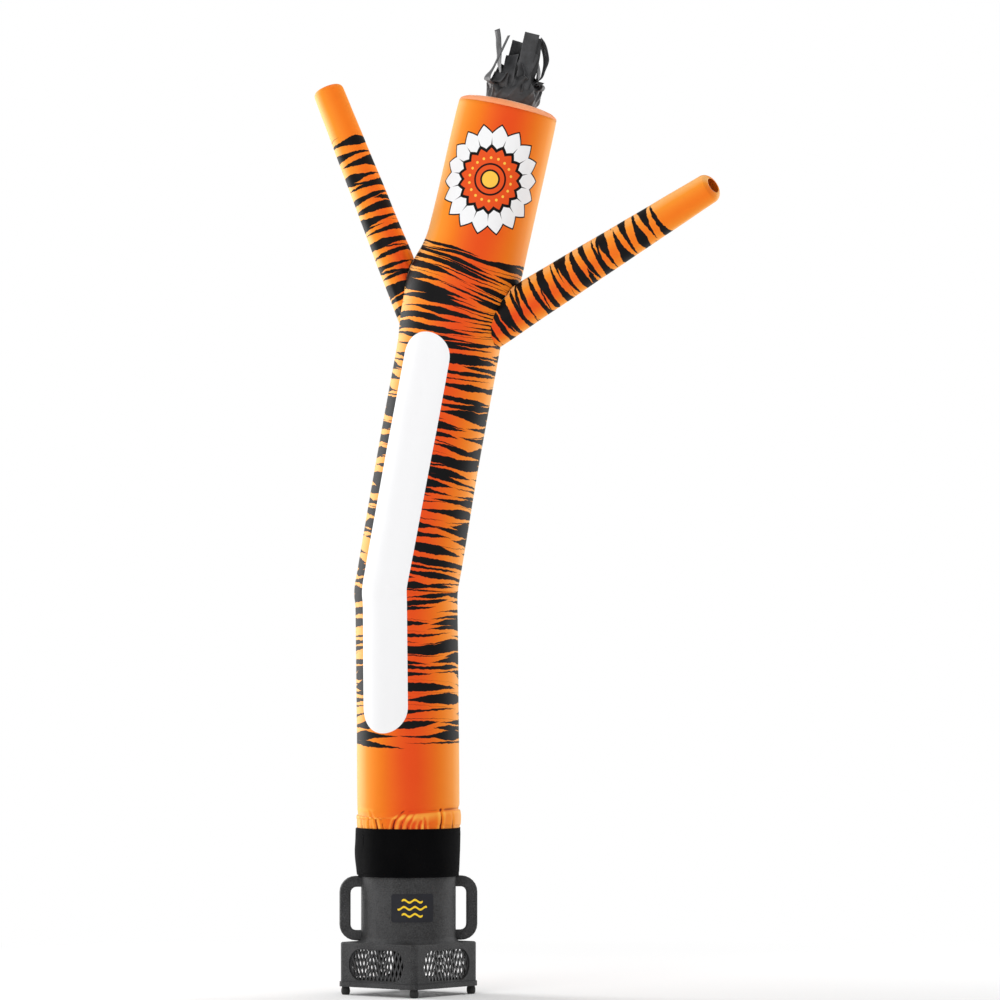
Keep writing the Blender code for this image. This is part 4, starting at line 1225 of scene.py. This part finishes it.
def make_grille(number, turn, material):
    """Expanded steel behind one window: slanted bars in a round-ended rim."""
    forms = []
    centre = GRILLE_BACK + GRILLE_THICKNESS / 2
    for start, end, way in lattice_bars():
        run = (Vector(end) - Vector(start)).normalized()
        side = Vector((run.y, 0.0, -run.x)) * BAR_WIDTH / 2
        # The strands of expanded steel lean, so each bar's two edges stand at unlike depths
        lean = Vector((0.0, BAR_LEAN * way, 0.0))
        depth = Vector((0.0, BAR_THICKNESS / 2, 0.0))
        corners = (-side - lean - depth, side + lean - depth, side + lean + depth, -side - lean + depth)
        middles = [Vector((x, centre, z + WINDOW_MIDDLE)) for x, z in (start, end)]
        forms.append(lofted([[middle + corner for corner in corners] for middle in middles]))
    radius = GRILLE_HEIGHT / 2
    straight = GRILLE_WIDTH / 2 - radius
    near, far = GRILLE_BACK, GRILLE_BACK + GRILLE_THICKNESS
    rim = ((near, radius), (near, radius - GRILLE_RIM), (far, radius - GRILLE_RIM), (far, radius))
    forms.append(lofted([[(x, y, z) for x, z in round_ended(straight, r)] for y, r in rim], looped=True))
    spots, faces = [], []
    for form_spots, form_faces in forms:
        faces += [[len(spots) + k for k in face] for face in form_faces]
        spots += form_spots
    mesh = bpy.data.meshes.new(f"lattice_{number}")
    mesh.from_pydata(spots, [], faces)
    mesh.transform(Matrix.Translation(AXIS) @ Matrix.Rotation(turn, 4, "Z"))
    shape = bmesh.new()
    shape.from_mesh(mesh)
    bmesh.ops.recalc_face_normals(shape, faces=shape.faces)
    shape.to_mesh(mesh)
    shape.free()
    mesh.materials.append(material)
    dress(new_object(f"lattice_{number}", mesh), "coated_steel", f"grille_{number}")


# Stage

SKY_STRENGTH = 0.62
LIGHTS_AIM = Vector((AXIS.x + 0.1, AXIS.y, 1.5))
Softbox = namedtuple("Softbox", "name place width height watts")
SOFTBOXES = (
    Softbox("left_softbox", (-3.3, 2.1, 1.8), 1.6, 3.6, 165),
    Softbox("right_softbox", (2.9, 2.3, 1.8), 1.6, 3.6, 72),
    Softbox("front_softbox", (-2.4, -4.7, 3.2), 3.0, 2.4, 92),
    Softbox("top_softbox", (0.2, 0.4, 5.4), 3.0, 3.0, 30),
)


def aim_at(holder, target):
    """Turn a lamp or the camera to a target."""
    holder.rotation_euler = (target - holder.location).to_track_quat("-Z", "Y").to_euler()


def make_stage():
    """Pale floor, soft lights and the camera."""
    bpy.ops.mesh.primitive_circle_add(vertices=96, radius=FLOOR_RADIUS, fill_type="NGON", location=(0, 0, 0))
    floor = bpy.context.object
    floor.name = "studio_floor"
    floor.data.materials.append(make_floor_paper())

    world = bpy.data.worlds.new("studio")
    bpy.context.scene.world = world
    world.use_nodes = True
    world.node_tree.nodes.clear()
    add = partial(add_node, world.node_tree)
    # The lamp-free sky lights the part softly, and the camera sees it as a plain pale backdrop
    seen = add("Background", BACKDROP, 1.0)
    light = add("Background", colour("#FFFFFF"), SKY_STRENGTH)
    add("OutputWorld", add("MixShader", add("LightPath").outputs["Is Camera Ray"], light, seen))

    for box in SOFTBOXES:
        lamp = bpy.data.lights.new(box.name, "AREA")
        lamp.shape = "RECTANGLE"
        lamp.size = box.width
        lamp.size_y = box.height
        lamp.energy = box.watts
        holder = new_object(box.name, lamp)
        holder.location = box.place
        aim_at(holder, LIGHTS_AIM)

    lens = bpy.data.cameras.new("camera")
    camera = new_object("camera", lens)
    target = Vector((AXIS.x + AIM_RIGHT, AXIS.y, AIM_HEIGHT))
    camera.location = (target.x, AXIS.y - CAMERA_DISTANCE, CAMERA_HEIGHT)
    aim_at(camera, target)
    lens.sensor_width = SENSOR
    lens.lens = SENSOR * (target - camera.location).length / PICTURE_WIDTH
    bpy.context.scene.camera = camera
    bpy.context.scene.view_settings.view_transform = "Standard"


def repaint(material, *names):
    """Give CAD nodes a finish."""
    for name in names:
        mesh = NODES[name].data
        mesh.materials.clear()
        mesh.materials.append(material)


def main():
    """Make every piece."""
    tube = make_tube(make_tube_nylon())
    bpy.context.view_layer.update()
    wall = BVHTree.FromPolygons([v.co for v in tube.data.vertices], [p.vertices for p in tube.data.polygons])
    for arm in ARMS:
        make_arm(arm, wall, make_arm_nylon(f"printed_nylon_{arm.name}", (0.0, arm.stripes_end)))
    make_cap(make_cap_nylon())
    satin = make_ribbon_satin()
    make_tuft_root(satin)
    make_ribbons(satin)
    tape = make_loop_tape()
    make_collar(tape)
    make_flap(tape)
    steel = make_coated_steel()
    for number in range(4):
        make_grille(number + 1, BLOWER_TURN + math.pi / 4 + math.pi / 2 * number, steel)
    plastic = make_pebbled_plastic()
    make_housing(plastic)
    repaint(plastic, "base_frame", "handle_left", "handle_right")
    make_feet(make_rubber())
    repaint(make_label_film(), "label_plate")
    repaint(tape, "hook_band")
    make_stage()


main()
